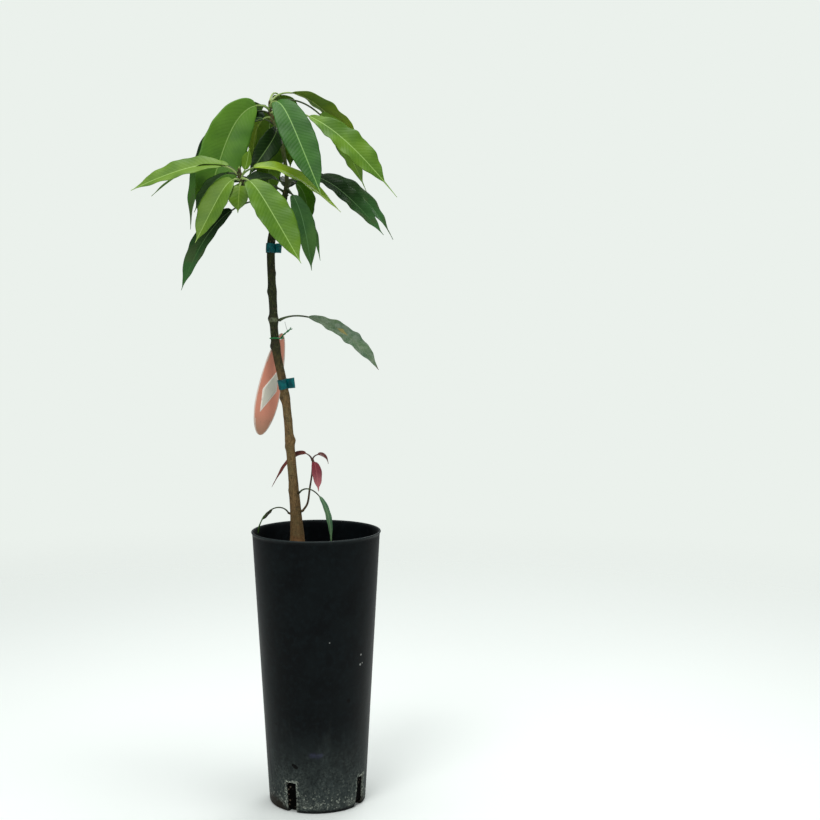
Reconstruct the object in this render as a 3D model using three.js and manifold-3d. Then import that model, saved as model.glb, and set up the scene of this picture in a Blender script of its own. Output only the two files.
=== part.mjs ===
// A mango sapling in a tall black nursery pot, about 0.92 m high over all.
// Millimetres, +Z up. The origin is the centre of the pot's flat underside, and -Y is the front.
// Headings are degrees in plan: 0 is +X, to the right, and -90 is -Y, to the front.

import * as THREE from "three";
import { mergeVertices } from "three/addons/utils/BufferGeometryUtils.js";
import Module from "manifold-3d";

const wasm = await Module();
wasm.setup();

// ---------------------------------------------------------------- driving dimensions

const GAP = 0.3; // between two pieces that rest on each other
const SEAT = 0.5; // between a round limb and what is fixed to its side

const POT_HEIGHT = 357.4;
const RIM_RADIUS = 84.1; // over the rolled lip
const FOOT_RADIUS = 62.9;
const POT_WALL = 1.8;
const POT_FLOOR = 3;
const LIP_HEIGHT = 2.6;
const LIP_PROUD = 1.1; // how far the lip stands out of the wall
const FOOT_ROUNDING = 3;
const POT_SIDES = 48;

const SLOT_WIDTH = 14; // drainage slots through the foot of the wall
const SLOT_HEIGHT = 39.5;
const SLOT_INTO_FLOOR = 9;
const SLOT_COUNT = 4;
const FIRST_SLOT_HEADING = -118;

const SOIL_LEVEL = 318; // top of the potting mix
const SOIL_DIP = 4; // how far the mix falls away at the wall
const SOIL_FLAT_RADIUS = 60;

// The stem's centre line from the soil to the top bud.
const STEM_POINTS = [
  [-24, 0, 318.3],
  [-26, 1, 373],
  [-33, 3, 464],
  [-39, 3, 531],
  [-50.6, 0, 597],
  [-53.6, -3, 656],
  [-55.7, -2, 714],
  [-53, 0, 742],
  [-43, 2, 770],
  [-35, 1, 803],
  [-38, 0, 838],
  [-45, -1, 868],
  [-54, 0, 890],
  [-56, 0, 906],
];
const TRUNK_RADIUS = 5.2; // above the flare
const ROOT_FLARE = 7.5; // what the flare adds to the radius at the soil
const FLARE_HEIGHT = 52;
const LEADER_RADIUS = 2.6; // above the fork
const FORK_HEIGHT = 760; // where the left bough leaves the trunk
const KNUCKLES = [475, 530, 597, 632, 667]; // old leaf rings on the trunk
const KNUCKLE_RISE = 0.7;
const KNUCKLE_REACH = 6;
const ROOT_LOBES = 5;
const ROOT_LOBE_DEPTH = 0.12;
const ROOT_LOBE_HEIGHT = 16;

const TRUNK_TOP = 768; // the middle foliage's stem goes on from here
const MIDDLE_TOP = 812; // the top bough goes on from here
const TOP_FOOT = 872; // the top foliage's stem goes on from here

// The left bough's centre line, from the trunk's side to its own top bud.
const LEFT_POINTS = [
  [-49.1, -4.4, 759.1],
  [-63, -33, 772],
  [-77, -58, 786],
  [-83.5, -70, 798],
  [-86, -75, 807],
  [-87, -77, 817],
];
const LEFT_RADII = [3.2, 1.5];
const LEFT_FOOT = 797; // the left foliage's stem goes on from here

// ---------------------------------------------------------------- leaf plans
// at is the leaf's place on its stem, heading turns it in plan, rise is its angle at the root, droop
// is how far it has turned down at its tip and bend how early it does so, and roll turns the blade
// about its rib. Some have more: swing is a turn in plan towards the tip, sag a late droop, and a
// belly over 1 puts the widest place nearer the tip.

const plan = (at, heading, rise, droop, bend, petiole, length, width, roll, more = {}) => ({
  at,
  heading,
  rise,
  droop,
  bend,
  petiole,
  length,
  width,
  roll,
  ...more,
});

const TOP_LEAVES = [
  // at, heading, rise, droop, bend, petiole, length, width, roll
  plan(0.72, -156, 50, 126, 0.15, 20, 177, 56, 80, { sag: -8 }),
  plan(0.1, 164, 40, 145, 0.58, 17, 198, 50, 42, { sag: -20 }),
  plan(0.85, -54, 65, 119, 0.1, 18, 159, 43, -22),
  plan(0.94, 74, 86, 176, 0.34, 42, 106, 42, 0),
  plan(0.91, 34, 76, 120, 0.21, 39, 141, 46, 0),
  plan(0.61, -14, 17, 67, 0.29, 52, 155, 40, -43, { belly: 1.1 }),
  plan(0.79, 21, 56, 121, 0.26, 74, 117, 37, -61),
  plan(0.08, -71, -14, 44, 0.46, 17, 84, 27, 56, { swing: -110 }),
  plan(0.4, 165, 34, 124, 0.2, 14, 70, 26, 0),
];
const LEFT_LEAVES = [
  plan(0.4, 184, 70, 90, 0.19, 28, 117, 34, 39, { sag: 6 }),
  plan(0.3, -158, 38, 100, 0.1, 10, 92, 36, 41),
  plan(0.4, -37, 14, 67, 0.1, 15, 131, 48, -21),
  plan(0.45, 10, 64, 102, 0.24, 21, 125, 28, -29, { sag: 5 }),
  plan(0.6, 0, 30, -52, 0.25, 10, 27, 17, -50),
  plan(0.15, -94, -12, 60, 0.3, 10, 38, 26, 0),
  plan(0.5, 172, 66, 106, 0.34, 20, 110, 24, 20),
];
const MIDDLE_LEAVES = [
  plan(0.08, 186, 41, 111, 0.35, 67, 123, 39, 36),
  plan(0.8, -140, 34, 50, 0.5, 14, 54, 32, 20),
  plan(0.7, -48, -24, 54, 0.3, 16, 104, 28, -10),
  plan(0.6, -23, -13, 65, 0.3, 20, 85, 17, 3),
  plan(0.85, 18, 37, 125, 0.25, 12, 57, 30, -55),
  plan(0.75, -12, 65, 114, 0.23, 46, 114, 29, -36),
  plan(0.9, 4, 29, 92, 0.68, 44, 127, 30, -34),
];

// Leaves that close the crown's far side stray by a seeded rule from these headings and sizes.
const TOP_SPARE = { seed: 27183, headings: [98, 126, 152], petiole: 24, length: 130, width: 40, droop: 142 };
const LEFT_SPARE = { seed: 62136, headings: [160], petiole: 18, length: 78, width: 28, droop: 100 };
const MIDDLE_SPARE = {
  seed: 86679,
  headings: [60, 84, 127, 141, 174],
  petiole: 24,
  length: 100,
  width: 32,
  droop: 62,
};
const SPARE_STRAY = 0.14; // share of a size
const SPARE_TURN = 5; // degrees
const SPARE_ROLL = 16; // degrees
const SPARE_PLACES = [0.3, 0.8];
const SPARE_RISES = [42, 54];
const SPARE_BENDS = [0.3, 0.5];
const CROWN_FLOOR = 640; // no leaf of the crown hangs lower
const LEAF_CLEARANCE = 4; // between a spare leaf and what it could touch

// Leaves on the trunk itself: at is their height.
const SIDE_LEAVES = {
  trunk_leaf: plan(630, -8, 32, 60, 0.22, 39, 116, 24, -40, { sag: 30, belly: 1.05 }),
  low_leaf_right: plan(406.5, -35, 54, 144, 0.39, 38, 63, 8, -25),
  low_leaf_left: plan(378.5, 173, 73, 154, 0.45, 35, 31, 7, 20, { belly: 1.4 }),
};

const SHOOT_HEIGHT = 382; // where the red shoot leaves the trunk
const SHOOT_HEADING = -14;
const SHOOT_POINTS = [
  [0, 0, 0],
  [7, 0, 11],
  [10, 0, 30],
  [13, 0, 50],
  [14, 0, 70],
];
const SHOOT_RADII = [1.5, 1.0];
const SHOOT_LEAVES = [
  plan(0.95, 143, 76, 131, 0.23, 15, 81, 11, 50),
  plan(0.98, -62, -20, 56, 0.2, 5, 40, 14, 0),
  plan(0.97, 12, 88, 168, 0.8, 10, 21, 11, -20),
];

const LEAF_THICKNESS = 0.0145; // of the leaf's length, at the rib
const LEAF_FOLD = 14; // degrees that each half of a blade stands up from the rib
const EDGE_SHARE = 0.75; // the edge's thickness as a share of the rib's
const BELLY = 0.82; // puts the widest place a little nearer the base than the tip
const PETIOLE_RADIUS = 1.25;
const TIP_HALF_WIDTH = 0.5;
const PETIOLE_STEPS = 3;
const BLADE_STEPS = 8;
const BUD_RADIUS = 1.3;
const ROOT_MARGIN = 2; // from a leaf's root to either end of its stem

const TIE_HEIGHTS = { tie_upper: [716, 728], tie_lower: [541, 554] };
const TIE_THICKNESS = 0.9;
const TIE_SIDES = 20;
const TIE_TAILS = { tie_upper: [-15, 8], tie_lower: [-25, 11] }; // heading and length
const TIE_TAIL_SHARE = 0.8; // the tail's width as a share of the band's

const TAG_HEIGHT = 135;
const TAG_WIDTH = 39.5;
const TAG_THICKNESS = 1;
const TAG_HOLE_RADIUS = 2.4;
const TAG_HOLE_DOWN = 7; // from the tag's top end
const TAG_HANG = [-45, 16, 607]; // where the loop passes through the hole
const TAG_LEAN = 12.5; // degrees, foot to the left
const TAG_TILT = 5; // degrees, foot to the front
const TAG_TURN = 45; // degrees about its own length
const LABEL_TIE_RADIUS = 0.9;
const LABEL_TIE_HALF_WIDTH = 7.4; // of the loop, across the trunk
const LABEL_TIE_TAIL = [
  [0, 0, 0],
  [2, -3, 4],
  [13, -7, 13],
]; // from the loop's right side

const POT_BLACK = 0x10141a;
const MIX_BROWN = 0x33271d;
const BARK_BROWN = 0x78583a;
const GREEN_BARK = 0x46482a;
const LEAF_GREEN = 0x4e7a3c;
const LIGHT_GREEN = 0x699842;
const DARK_GREEN = 0x2e5230;
const RED_LEAF = 0x823c4b;
const TIE_TEAL = 0x056269;
const LOOP_GREEN = 0x1d7a3c;
const TAG_SALMON = 0xc8705c;

// ---------------------------------------------------------------- helpers

const rad = THREE.MathUtils.degToRad;
const lerp = THREE.MathUtils.lerp;
const UP = new THREE.Vector3(0, 0, 1);

const vector = (point) => new THREE.Vector3(...point);
const curveThrough = (points) =>
  new THREE.CatmullRomCurve3(points.map(vector), false, "catmullrom", 0.5);
const headingVector = (degrees) =>
  new THREE.Vector3(Math.cos(rad(degrees)), Math.sin(rad(degrees)), 0);

// A repeatable stream of numbers between 0 and 1.
function dice(seed) {
  let state = seed;
  return () => {
    state = (state * 16807) % 2147483647;
    return state / 2147483647;
  };
}

// A geometry as a manifold-3d solid, and back.
function solidOf(geometry) {
  const bare = geometry.clone();
  bare.deleteAttribute("normal");
  bare.deleteAttribute("uv");
  const merged = mergeVertices(bare, 1e-4);
  const mesh = new wasm.Mesh({
    numProp: 3,
    vertProperties: new Float32Array(merged.attributes.position.array),
    triVerts: new Uint32Array(merged.index.array),
  });
  return new wasm.Manifold(mesh);
}

function geometryOf(solid) {
  const mesh = solid.getMesh();
  const geometry = new THREE.BufferGeometry();
  geometry.setAttribute("position", new THREE.BufferAttribute(mesh.vertProperties, mesh.numProp));
  geometry.setIndex(new THREE.BufferAttribute(mesh.triVerts, 1));
  geometry.computeVertexNormals();
  return geometry;
}

const joined = (geometries) => geometries.map(solidOf).reduce((whole, next) => whole.add(next));

// A closed cylinder whose rings are moved to where place(ring, across, out) puts their points.
function loft(sides, steps, place) {
  const tube = new THREE.CylinderGeometry(1, 1, 1, sides, steps);
  const spots = tube.attributes.position;
  for (let i = 0; i < spots.count; i++) {
    const ring = Math.round((spots.getY(i) + 0.5) * steps);
    const spot = place(ring, spots.getX(i), spots.getZ(i));
    spots.setXYZ(i, spot.x, spot.y, spot.z);
  }
  return tube;
}

// A round limb along a curve, cut square at both ends, or level at its foot.
function limb(curve, radiusAt, { sides = 8, steps = 10, from = 0, to = 1, levelFoot = false } = {}) {
  return loft(sides, steps, (ring, across, out) => {
    const t = lerp(from, to, ring / steps);
    const along = levelFoot && ring === 0 ? UP : curve.getTangent(t);
    const side = new THREE.Vector3(0, 1, 0).cross(along).normalize();
    const normal = side.clone().cross(along);
    const radius = radiusAt(t, Math.atan2(out, across));
    return curve
      .getPoint(t)
      .addScaledVector(side, across * radius)
      .addScaledVector(normal, out * radius);
  });
}

// ---------------------------------------------------------------- the stem

const stem = curveThrough(STEM_POINTS);
const left = curveThrough(LEFT_POINTS);

// The place along a rising curve that lies at a height.
function placeAt(curve, height) {
  let low = 0;
  let high = 1;
  for (let i = 0; i < 30; i++) {
    const middle = (low + high) / 2;
    if (curve.getPoint(middle).z < height) low = middle;
    else high = middle;
  }
  return (low + high) / 2;
}

const pointAt = (curve, height) => curve.getPoint(placeAt(curve, height));

function stemRadius(height) {
  const flare = ROOT_FLARE * Math.exp((SOIL_LEVEL - height) / FLARE_HEIGHT);
  const knuckle = KNUCKLES.reduce(
    (sum, ring) => sum + KNUCKLE_RISE * Math.exp(-(((height - ring) / KNUCKLE_REACH) ** 2)),
    0,
  );
  const slim = THREE.MathUtils.smoothstep(height, FORK_HEIGHT, MIDDLE_TOP);
  return lerp(TRUNK_RADIUS + flare + knuckle, LEADER_RADIUS, slim);
}

// The root flare's lobes fade out above the soil.
function stemRadiusRound(t, angle) {
  const height = stem.getPoint(t).z;
  const lobes = Math.cos(ROOT_LOBES * angle) * Math.exp((SOIL_LEVEL - height) / ROOT_LOBE_HEIGHT);
  return stemRadius(height) * (1 + ROOT_LOBE_DEPTH * lobes);
}

const stemSection = (low, high, options) =>
  limb(stem, stemRadiusRound, { from: placeAt(stem, low), to: placeAt(stem, high), ...options });

// ---------------------------------------------------------------- leaves

// The blade's half width as a share of its greatest, from its base to its drawn-out tip.
function bladeShape(t, belly = BELLY) {
  return Math.sin(Math.PI * t ** belly) ** lerp(0.55, 0.8, t);
}

// A leaf's stations from its root to its tip: place, frame, half width and half thickness.
function leafStations(leaf, root) {
  const whole = leaf.petiole + leaf.length;
  const share = leaf.petiole / whole;
  const places = [];
  for (let k = 0; k < PETIOLE_STEPS; k++) places.push((share * k) / PETIOLE_STEPS);
  for (let k = 0; k <= BLADE_STEPS; k++) places.push(lerp(share, 1, k / BLADE_STEPS));

  const directionAt = (s) => {
    const fallen = (1 - Math.exp(-s / leaf.bend)) / (1 - Math.exp(-1 / leaf.bend));
    const rise = rad(leaf.rise - leaf.droop * fallen - (leaf.sag ?? 0) * s * s);
    const heading = headingVector(leaf.heading + (leaf.swing ?? 0) * s);
    return heading.multiplyScalar(Math.cos(rise)).addScaledVector(UP, Math.sin(rise));
  };

  const thin = (LEAF_THICKNESS * whole) / 2;
  const substeps = 6;
  const point = root.clone();
  let last = 0;
  return places.map((s) => {
    for (let k = 0; k < substeps; k++) {
      const middle = lerp(last, s, (k + 0.5) / substeps);
      point.addScaledVector(directionAt(middle), ((s - last) * whole) / substeps);
    }
    last = s;
    const along = directionAt(s);
    const level = along.clone().cross(UP).normalize();
    const top = level.clone().cross(along);
    const blade = THREE.MathUtils.clamp((s - share) / (1 - share), 0, 1);
    const roll = rad(leaf.roll) * Math.min(1, s / share);
    const side = level.multiplyScalar(Math.cos(roll)).addScaledVector(top, Math.sin(roll));
    const outline = (leaf.width / 2) * bladeShape(blade, leaf.belly);
    return {
      point: point.clone(),
      side,
      normal: side.clone().cross(along),
      halfWidth: Math.max(lerp(PETIOLE_RADIUS, TIP_HALF_WIDTH, blade), outline),
      halfThickness: blade > 0 ? thin : Math.max(PETIOLE_RADIUS, thin),
      fold: blade > 0 ? Math.tan(rad(LEAF_FOLD)) : 0,
    };
  });
}

// The six-sided section is as wide as the blade, and a little thinner at the edge than at the rib.
function leafGeometry(stations) {
  return loft(6, stations.length - 1, (ring, across, out) => {
    const at = stations[ring];
    const edge = Math.round(across);
    const lift = Math.abs(edge) * at.halfWidth * at.fold;
    const thick = edge ? Math.sign(out) * EDGE_SHARE : Math.round(out);
    return at.point
      .clone()
      .addScaledVector(at.side, edge * at.halfWidth)
      .addScaledVector(at.normal, lift + thick * at.halfThickness);
  });
}

// What the spare leaves keep clear of: balls along the limbs and along the leaves set so far.
const taken = [];

const claim = (point, radius) => taken.push({ point, radius });

function isClear(stations) {
  return stations.slice(PETIOLE_STEPS).every((at) => {
    const reach = at.halfWidth / 2 + LEAF_CLEARANCE;
    const free = taken.every((ball) => ball.point.distanceTo(at.point) > ball.radius + reach);
    return free && at.point.z > CROWN_FLOOR;
  });
}

function spareLeaves(rule) {
  const next = dice(rule.seed);
  const within = ([low, high]) => lerp(low, high, next());
  const either = (reach) => reach * (2 * next() - 1);
  const stray = (size) => size * (1 + either(SPARE_STRAY));
  return rule.headings.map((heading) => ({
    at: within(SPARE_PLACES),
    heading: heading + either(SPARE_TURN),
    rise: within(SPARE_RISES),
    droop: stray(rule.droop),
    bend: within(SPARE_BENDS),
    petiole: stray(rule.petiole),
    length: stray(rule.length),
    width: stray(rule.width),
    roll: either(SPARE_ROLL),
    spare: true,
  }));
}

// One mass of foliage: its stem, with every leaf's root sunk in the middle of it.
function foliage(stemGeometry, rootAt, leaves) {
  const set = leaves
    .map((leaf) => ({ leaf, stations: leafStations(leaf, rootAt(leaf.at)) }))
    .filter(({ leaf, stations }) => !leaf.spare || isClear(stations));
  set.forEach(({ stations }) => stations.forEach((at) => claim(at.point, at.halfWidth / 2)));
  return joined([stemGeometry, ...set.map(({ stations }) => leafGeometry(stations))]);
}

// A single leaf that stands on the trunk's side.
function sideLeaf(leaf) {
  const away = stemRadius(leaf.at) + SEAT + PETIOLE_RADIUS * Math.sin(rad(leaf.rise));
  const root = pointAt(stem, leaf.at).addScaledVector(headingVector(leaf.heading), away);
  return solidOf(leafGeometry(leafStations(leaf, root)));
}

// ---------------------------------------------------------------- pot and mix

const wallRadius = (height) =>
  lerp(FOOT_RADIUS, RIM_RADIUS - LIP_PROUD, height / POT_HEIGHT);

function potSolid() {
  const outline = new THREE.Path();
  const lipFoot = POT_HEIGHT - LIP_HEIGHT;
  const lipMiddle = POT_HEIGHT - LIP_HEIGHT / 2;
  outline.moveTo(0, 0);
  outline.lineTo(FOOT_RADIUS - FOOT_ROUNDING, 0);
  outline.quadraticCurveTo(FOOT_RADIUS, 0, wallRadius(FOOT_ROUNDING), FOOT_ROUNDING);
  outline.lineTo(wallRadius(lipFoot), lipFoot);
  outline.lineTo(RIM_RADIUS, lipMiddle);
  outline.lineTo(RIM_RADIUS - LIP_PROUD / 2, POT_HEIGHT);
  outline.lineTo(RIM_RADIUS - LIP_PROUD - POT_WALL, POT_HEIGHT);
  outline.lineTo(wallRadius(POT_FLOOR + FOOT_ROUNDING) - POT_WALL, POT_FLOOR + FOOT_ROUNDING);
  outline.lineTo(wallRadius(0) - POT_WALL - FOOT_ROUNDING, POT_FLOOR);
  outline.lineTo(0, POT_FLOOR);
  const lathe = new THREE.LatheGeometry(outline.getPoints(3), POT_SIDES);
  lathe.rotateX(Math.PI / 2);
  let pot = solidOf(lathe);
  for (let k = 0; k < SLOT_COUNT; k++) {
    const slot = new THREE.BoxGeometry(SLOT_INTO_FLOOR * 2, SLOT_WIDTH, SLOT_HEIGHT * 2);
    slot.translate(FOOT_RADIUS, 0, 0);
    slot.rotateZ(rad(FIRST_SLOT_HEADING + (360 / SLOT_COUNT) * k));
    pot = pot.subtract(solidOf(slot));
  }
  return pot;
}

function mixSolid() {
  const foot = POT_FLOOR + GAP;
  const shoulder = SOIL_LEVEL - SOIL_DIP;
  const away = POT_WALL + GAP;
  const profile = [
    [0, foot],
    [wallRadius(0) - away - FOOT_ROUNDING, foot],
    [wallRadius(foot + FOOT_ROUNDING) - away, foot + FOOT_ROUNDING],
    [wallRadius(shoulder) - away, shoulder],
    [SOIL_FLAT_RADIUS, SOIL_LEVEL],
    [0, SOIL_LEVEL],
  ].map(([radius, height]) => new THREE.Vector2(radius, height));
  const lathe = new THREE.LatheGeometry(profile, POT_SIDES);
  lathe.rotateX(Math.PI / 2);
  return solidOf(lathe);
}

// ---------------------------------------------------------------- ties and tag

// A band round the trunk with a short flat tail.
function tieSolid(name) {
  const [low, high] = TIE_HEIGHTS[name];
  const [heading, reach] = TIE_TAILS[name];
  const middle = (low + high) / 2;
  const centre = pointAt(stem, middle);
  const inner = Math.max(stemRadius(low), stemRadius(high)) + SEAT;
  const outer = inner + TIE_THICKNESS;
  const profile = [
    [inner, low],
    [outer, low],
    [outer, high],
    [inner, high],
    [inner, low],
  ].map(([radius, height]) => new THREE.Vector2(radius, height - middle));
  const band = new THREE.LatheGeometry(profile, TIE_SIDES);
  band.rotateX(Math.PI / 2);
  const tail = new THREE.BoxGeometry(reach, TIE_THICKNESS, (high - low) * TIE_TAIL_SHARE);
  tail.translate(inner + (reach + TIE_THICKNESS) / 2, 0, 0);
  tail.rotateZ(rad(heading));
  const lean = new THREE.Quaternion().setFromUnitVectors(UP, stem.getTangent(placeAt(stem, middle)));
  const both = [band, tail].map((piece) => piece.applyQuaternion(lean));
  return joined(both.map((piece) => piece.translate(centre.x, centre.y, centre.z)));
}

// The label's loop passes round the trunk and through the tag's hole.
function labelTieSolid() {
  const hole = vector(TAG_HANG);
  const trunk = pointAt(stem, hole.z);
  const toHole = hole.clone().sub(trunk).setZ(0);
  const turned = Math.atan2(toHole.y, toHole.x);
  const behindTrunk = stemRadius(hole.z) + SEAT + LABEL_TIE_RADIUS;
  const long = (toHole.length() + behindTrunk) / 2;
  const short = LABEL_TIE_HALF_WIDTH;
  const centre = hole.clone().addScaledVector(toHole.normalize(), -long);
  const sides = 6;
  const rings = 28;
  const loop = new THREE.TorusGeometry(1, 0.5, sides, rings);
  const spots = loop.attributes.position;
  for (let i = 0; i < spots.count; i++) {
    const ring = i % (rings + 1);
    const turn = (2 * Math.PI * (ring % rings)) / rings;
    const across = (2 * Math.PI * (Math.floor(i / (rings + 1)) % sides)) / sides;
    const out = LABEL_TIE_RADIUS * Math.cos(across);
    const x = (long + out) * Math.cos(turn);
    const y = (short + out) * Math.sin(turn);
    spots.setXYZ(i, x, y, LABEL_TIE_RADIUS * Math.sin(across));
  }
  loop.rotateZ(turned);
  loop.translate(centre.x, centre.y, centre.z);
  const loopSide = new THREE.Vector3(Math.sin(turned), -Math.cos(turned), 0);
  loopSide.multiplyScalar(short).add(centre);
  const tailPoints = LABEL_TIE_TAIL.map((point) => vector(point).add(loopSide).toArray());
  const tail = limb(curveThrough(tailPoints), () => LABEL_TIE_RADIUS, { sides: 6, steps: 5 });
  return joined([loop, tail]);
}

function tagSolid() {
  const half = TAG_WIDTH / 2;
  const face = new THREE.Shape();
  face.moveTo(0, 0);
  face.bezierCurveTo(half * 0.52, 0, half, TAG_HEIGHT * 0.17, half, TAG_HEIGHT * 0.36);
  face.bezierCurveTo(half, TAG_HEIGHT * 0.64, half * 0.5, TAG_HEIGHT, 0, TAG_HEIGHT);
  face.bezierCurveTo(-half * 0.5, TAG_HEIGHT, -half, TAG_HEIGHT * 0.64, -half, TAG_HEIGHT * 0.36);
  face.bezierCurveTo(-half, TAG_HEIGHT * 0.17, -half * 0.52, 0, 0, 0);
  const holeHeight = TAG_HEIGHT - TAG_HOLE_DOWN;
  const hole = new THREE.Path();
  hole.absarc(0, holeHeight, TAG_HOLE_RADIUS, 0, 2 * Math.PI, true);
  face.holes.push(hole);
  const plate = new THREE.ExtrudeGeometry(face, {
    depth: TAG_THICKNESS,
    bevelEnabled: false,
    curveSegments: 9,
  });
  const drop = TAG_HOLE_RADIUS - LABEL_TIE_RADIUS - GAP;
  plate.translate(0, -holeHeight - drop, -TAG_THICKNESS / 2);
  plate.rotateX(Math.PI / 2); // upright, with its face to the front
  plate.rotateZ(rad(TAG_TURN));
  plate.rotateX(rad(-TAG_TILT));
  plate.rotateY(rad(TAG_LEAN));
  plate.translate(...TAG_HANG);
  return solidOf(plate);
}

// ---------------------------------------------------------------- assembly

const group = new THREE.Group();
group.name = "mango_sapling";

function addNode(name, solid, color, roughness) {
  const material = new THREE.MeshStandardMaterial({ color, roughness, metalness: 0 });
  const mesh = new THREE.Mesh(geometryOf(solid), material);
  mesh.name = name;
  group.add(mesh);
}

addNode("pot", potSolid(), POT_BLACK, 0.5);
addNode("potting_mix", mixSolid(), MIX_BROWN, 1);

const trunk = stemSection(SOIL_LEVEL + GAP, TRUNK_TOP, { sides: 12, steps: 44, levelFoot: true });
addNode("trunk", solidOf(trunk), BARK_BROWN, 0.85);
const topBough = stemSection(MIDDLE_TOP + GAP, TOP_FOOT, { steps: 8 });
addNode("bough_top", solidOf(topBough), GREEN_BARK, 0.8);
const leftSection = (low, high, steps) =>
  limb(left, (t) => lerp(...LEFT_RADII, t), { from: placeAt(left, low), to: placeAt(left, high), steps });
const leftBough = leftSection(LEFT_POINTS[0][2], LEFT_FOOT, 8);
addNode("bough_left", solidOf(leftBough), GREEN_BARK, 0.8);

for (let height = SOIL_LEVEL; height < TOP_FOOT; height += 8)
  claim(pointAt(stem, height), stemRadius(height));
left.getPoints(12).forEach((point) => claim(point, LEFT_RADII[0]));

// The foliage stems go on from the limbs, along the same curves.
const topEnd = STEM_POINTS.at(-1)[2];
const leftEnd = LEFT_POINTS.at(-1)[2];
const topFoot = placeAt(stem, TOP_FOOT + GAP);
const topRadius = (t) => lerp(stemRadius(TOP_FOOT), BUD_RADIUS, (t - topFoot) / (1 - topFoot));
const topStem = limb(stem, topRadius, { from: topFoot, steps: 4 });
const leftStem = leftSection(LEFT_FOOT + 2 * GAP, leftEnd, 4);
const middleStem = stemSection(TRUNK_TOP + GAP, MIDDLE_TOP, { steps: 6 });

const between = (curve, low, high) => (at) =>
  pointAt(curve, lerp(low + ROOT_MARGIN, high - ROOT_MARGIN, at));
const topRoots = between(stem, TOP_FOOT, topEnd);
const leftRoots = between(left, LEFT_FOOT, leftEnd);
const middleRoots = between(stem, TRUNK_TOP, MIDDLE_TOP);
const masses = [
  ["foliage_top", topStem, topRoots, TOP_LEAVES, TOP_SPARE, LEAF_GREEN],
  ["foliage_left", leftStem, leftRoots, LEFT_LEAVES, LEFT_SPARE, LIGHT_GREEN],
  ["foliage_middle", middleStem, middleRoots, MIDDLE_LEAVES, MIDDLE_SPARE, DARK_GREEN],
];
for (const [name, stemGeometry, rootAt, leaves, spare, color] of masses)
  addNode(name, foliage(stemGeometry, rootAt, [...leaves, ...spareLeaves(spare)]), color, 0.45);

for (const [name, leaf] of Object.entries(SIDE_LEAVES)) addNode(name, sideLeaf(leaf), DARK_GREEN, 0.6);

const shootRoot = pointAt(stem, SHOOT_HEIGHT).addScaledVector(
  headingVector(SHOOT_HEADING),
  stemRadius(SHOOT_HEIGHT) + SHOOT_RADII[0],
);
const shootCurve = curveThrough(SHOOT_POINTS.map((point) => vector(point).add(shootRoot).toArray()));
const shootStem = limb(shootCurve, (t) => lerp(...SHOOT_RADII, t), { sides: 6, steps: 7 });
const shoot = foliage(shootStem, (at) => shootCurve.getPoint(at), SHOOT_LEAVES);
addNode("red_shoot", shoot, RED_LEAF, 0.5);

for (const name of Object.keys(TIE_HEIGHTS)) addNode(name, tieSolid(name), TIE_TEAL, 0.5);
addNode("label_tie", labelTieSolid(), LOOP_GREEN, 0.5);
addNode("label_tag", tagSolid(), TAG_SALMON, 0.6);

export default group;
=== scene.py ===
"""A mango sapling in a tall black nursery pot: its looks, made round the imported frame.

Lengths here are millimetres until a piece is finished. Headings are degrees in plan: 0 is +X, to the
right, and -90 is -Y, to the front.
"""
import math
from collections import namedtuple

import bmesh
import bpy
from mathutils import Matrix, Vector, noise


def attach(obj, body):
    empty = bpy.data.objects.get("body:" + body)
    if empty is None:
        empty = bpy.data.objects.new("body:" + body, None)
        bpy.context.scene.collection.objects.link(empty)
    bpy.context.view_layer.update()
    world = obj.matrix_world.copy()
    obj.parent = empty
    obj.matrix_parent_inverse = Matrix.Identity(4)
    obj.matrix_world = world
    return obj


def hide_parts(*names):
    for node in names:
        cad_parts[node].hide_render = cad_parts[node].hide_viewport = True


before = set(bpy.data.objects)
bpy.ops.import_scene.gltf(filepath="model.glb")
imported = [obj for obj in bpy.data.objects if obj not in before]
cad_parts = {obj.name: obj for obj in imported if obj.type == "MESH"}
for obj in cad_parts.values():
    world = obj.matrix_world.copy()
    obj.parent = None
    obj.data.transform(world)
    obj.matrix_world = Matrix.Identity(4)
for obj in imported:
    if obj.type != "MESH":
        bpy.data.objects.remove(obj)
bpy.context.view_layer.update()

MM = 0.001
UP = Vector((0, 0, 1))

# ---------------------------------------------------------------- driving dimensions

GAP = 0.3
SEAT = 0.5

POT_HEIGHT = 357.4
RIM_RADIUS = 84.1
FOOT_RADIUS = 62.9
POT_WALL = 1.8
POT_FLOOR = 3
LIP_HEIGHT = 2.6
LIP_PROUD = 1.1
FOOT_ROUNDING = 3
POT_SIDES = 144
SLOT_HEIGHT = 39.5
SLOT_FLOOR_RADIUS = 54.2
SLOT_HALF_TURN = 6.25  # degrees
SLOT_COUNT = 4
FIRST_SLOT_HEADING = -118
CHIPPED_SLOT_HEADING = -28

SOIL_LEVEL = 318
SOIL_DIP = 4
SOIL_FLAT_RADIUS = 60

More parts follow.
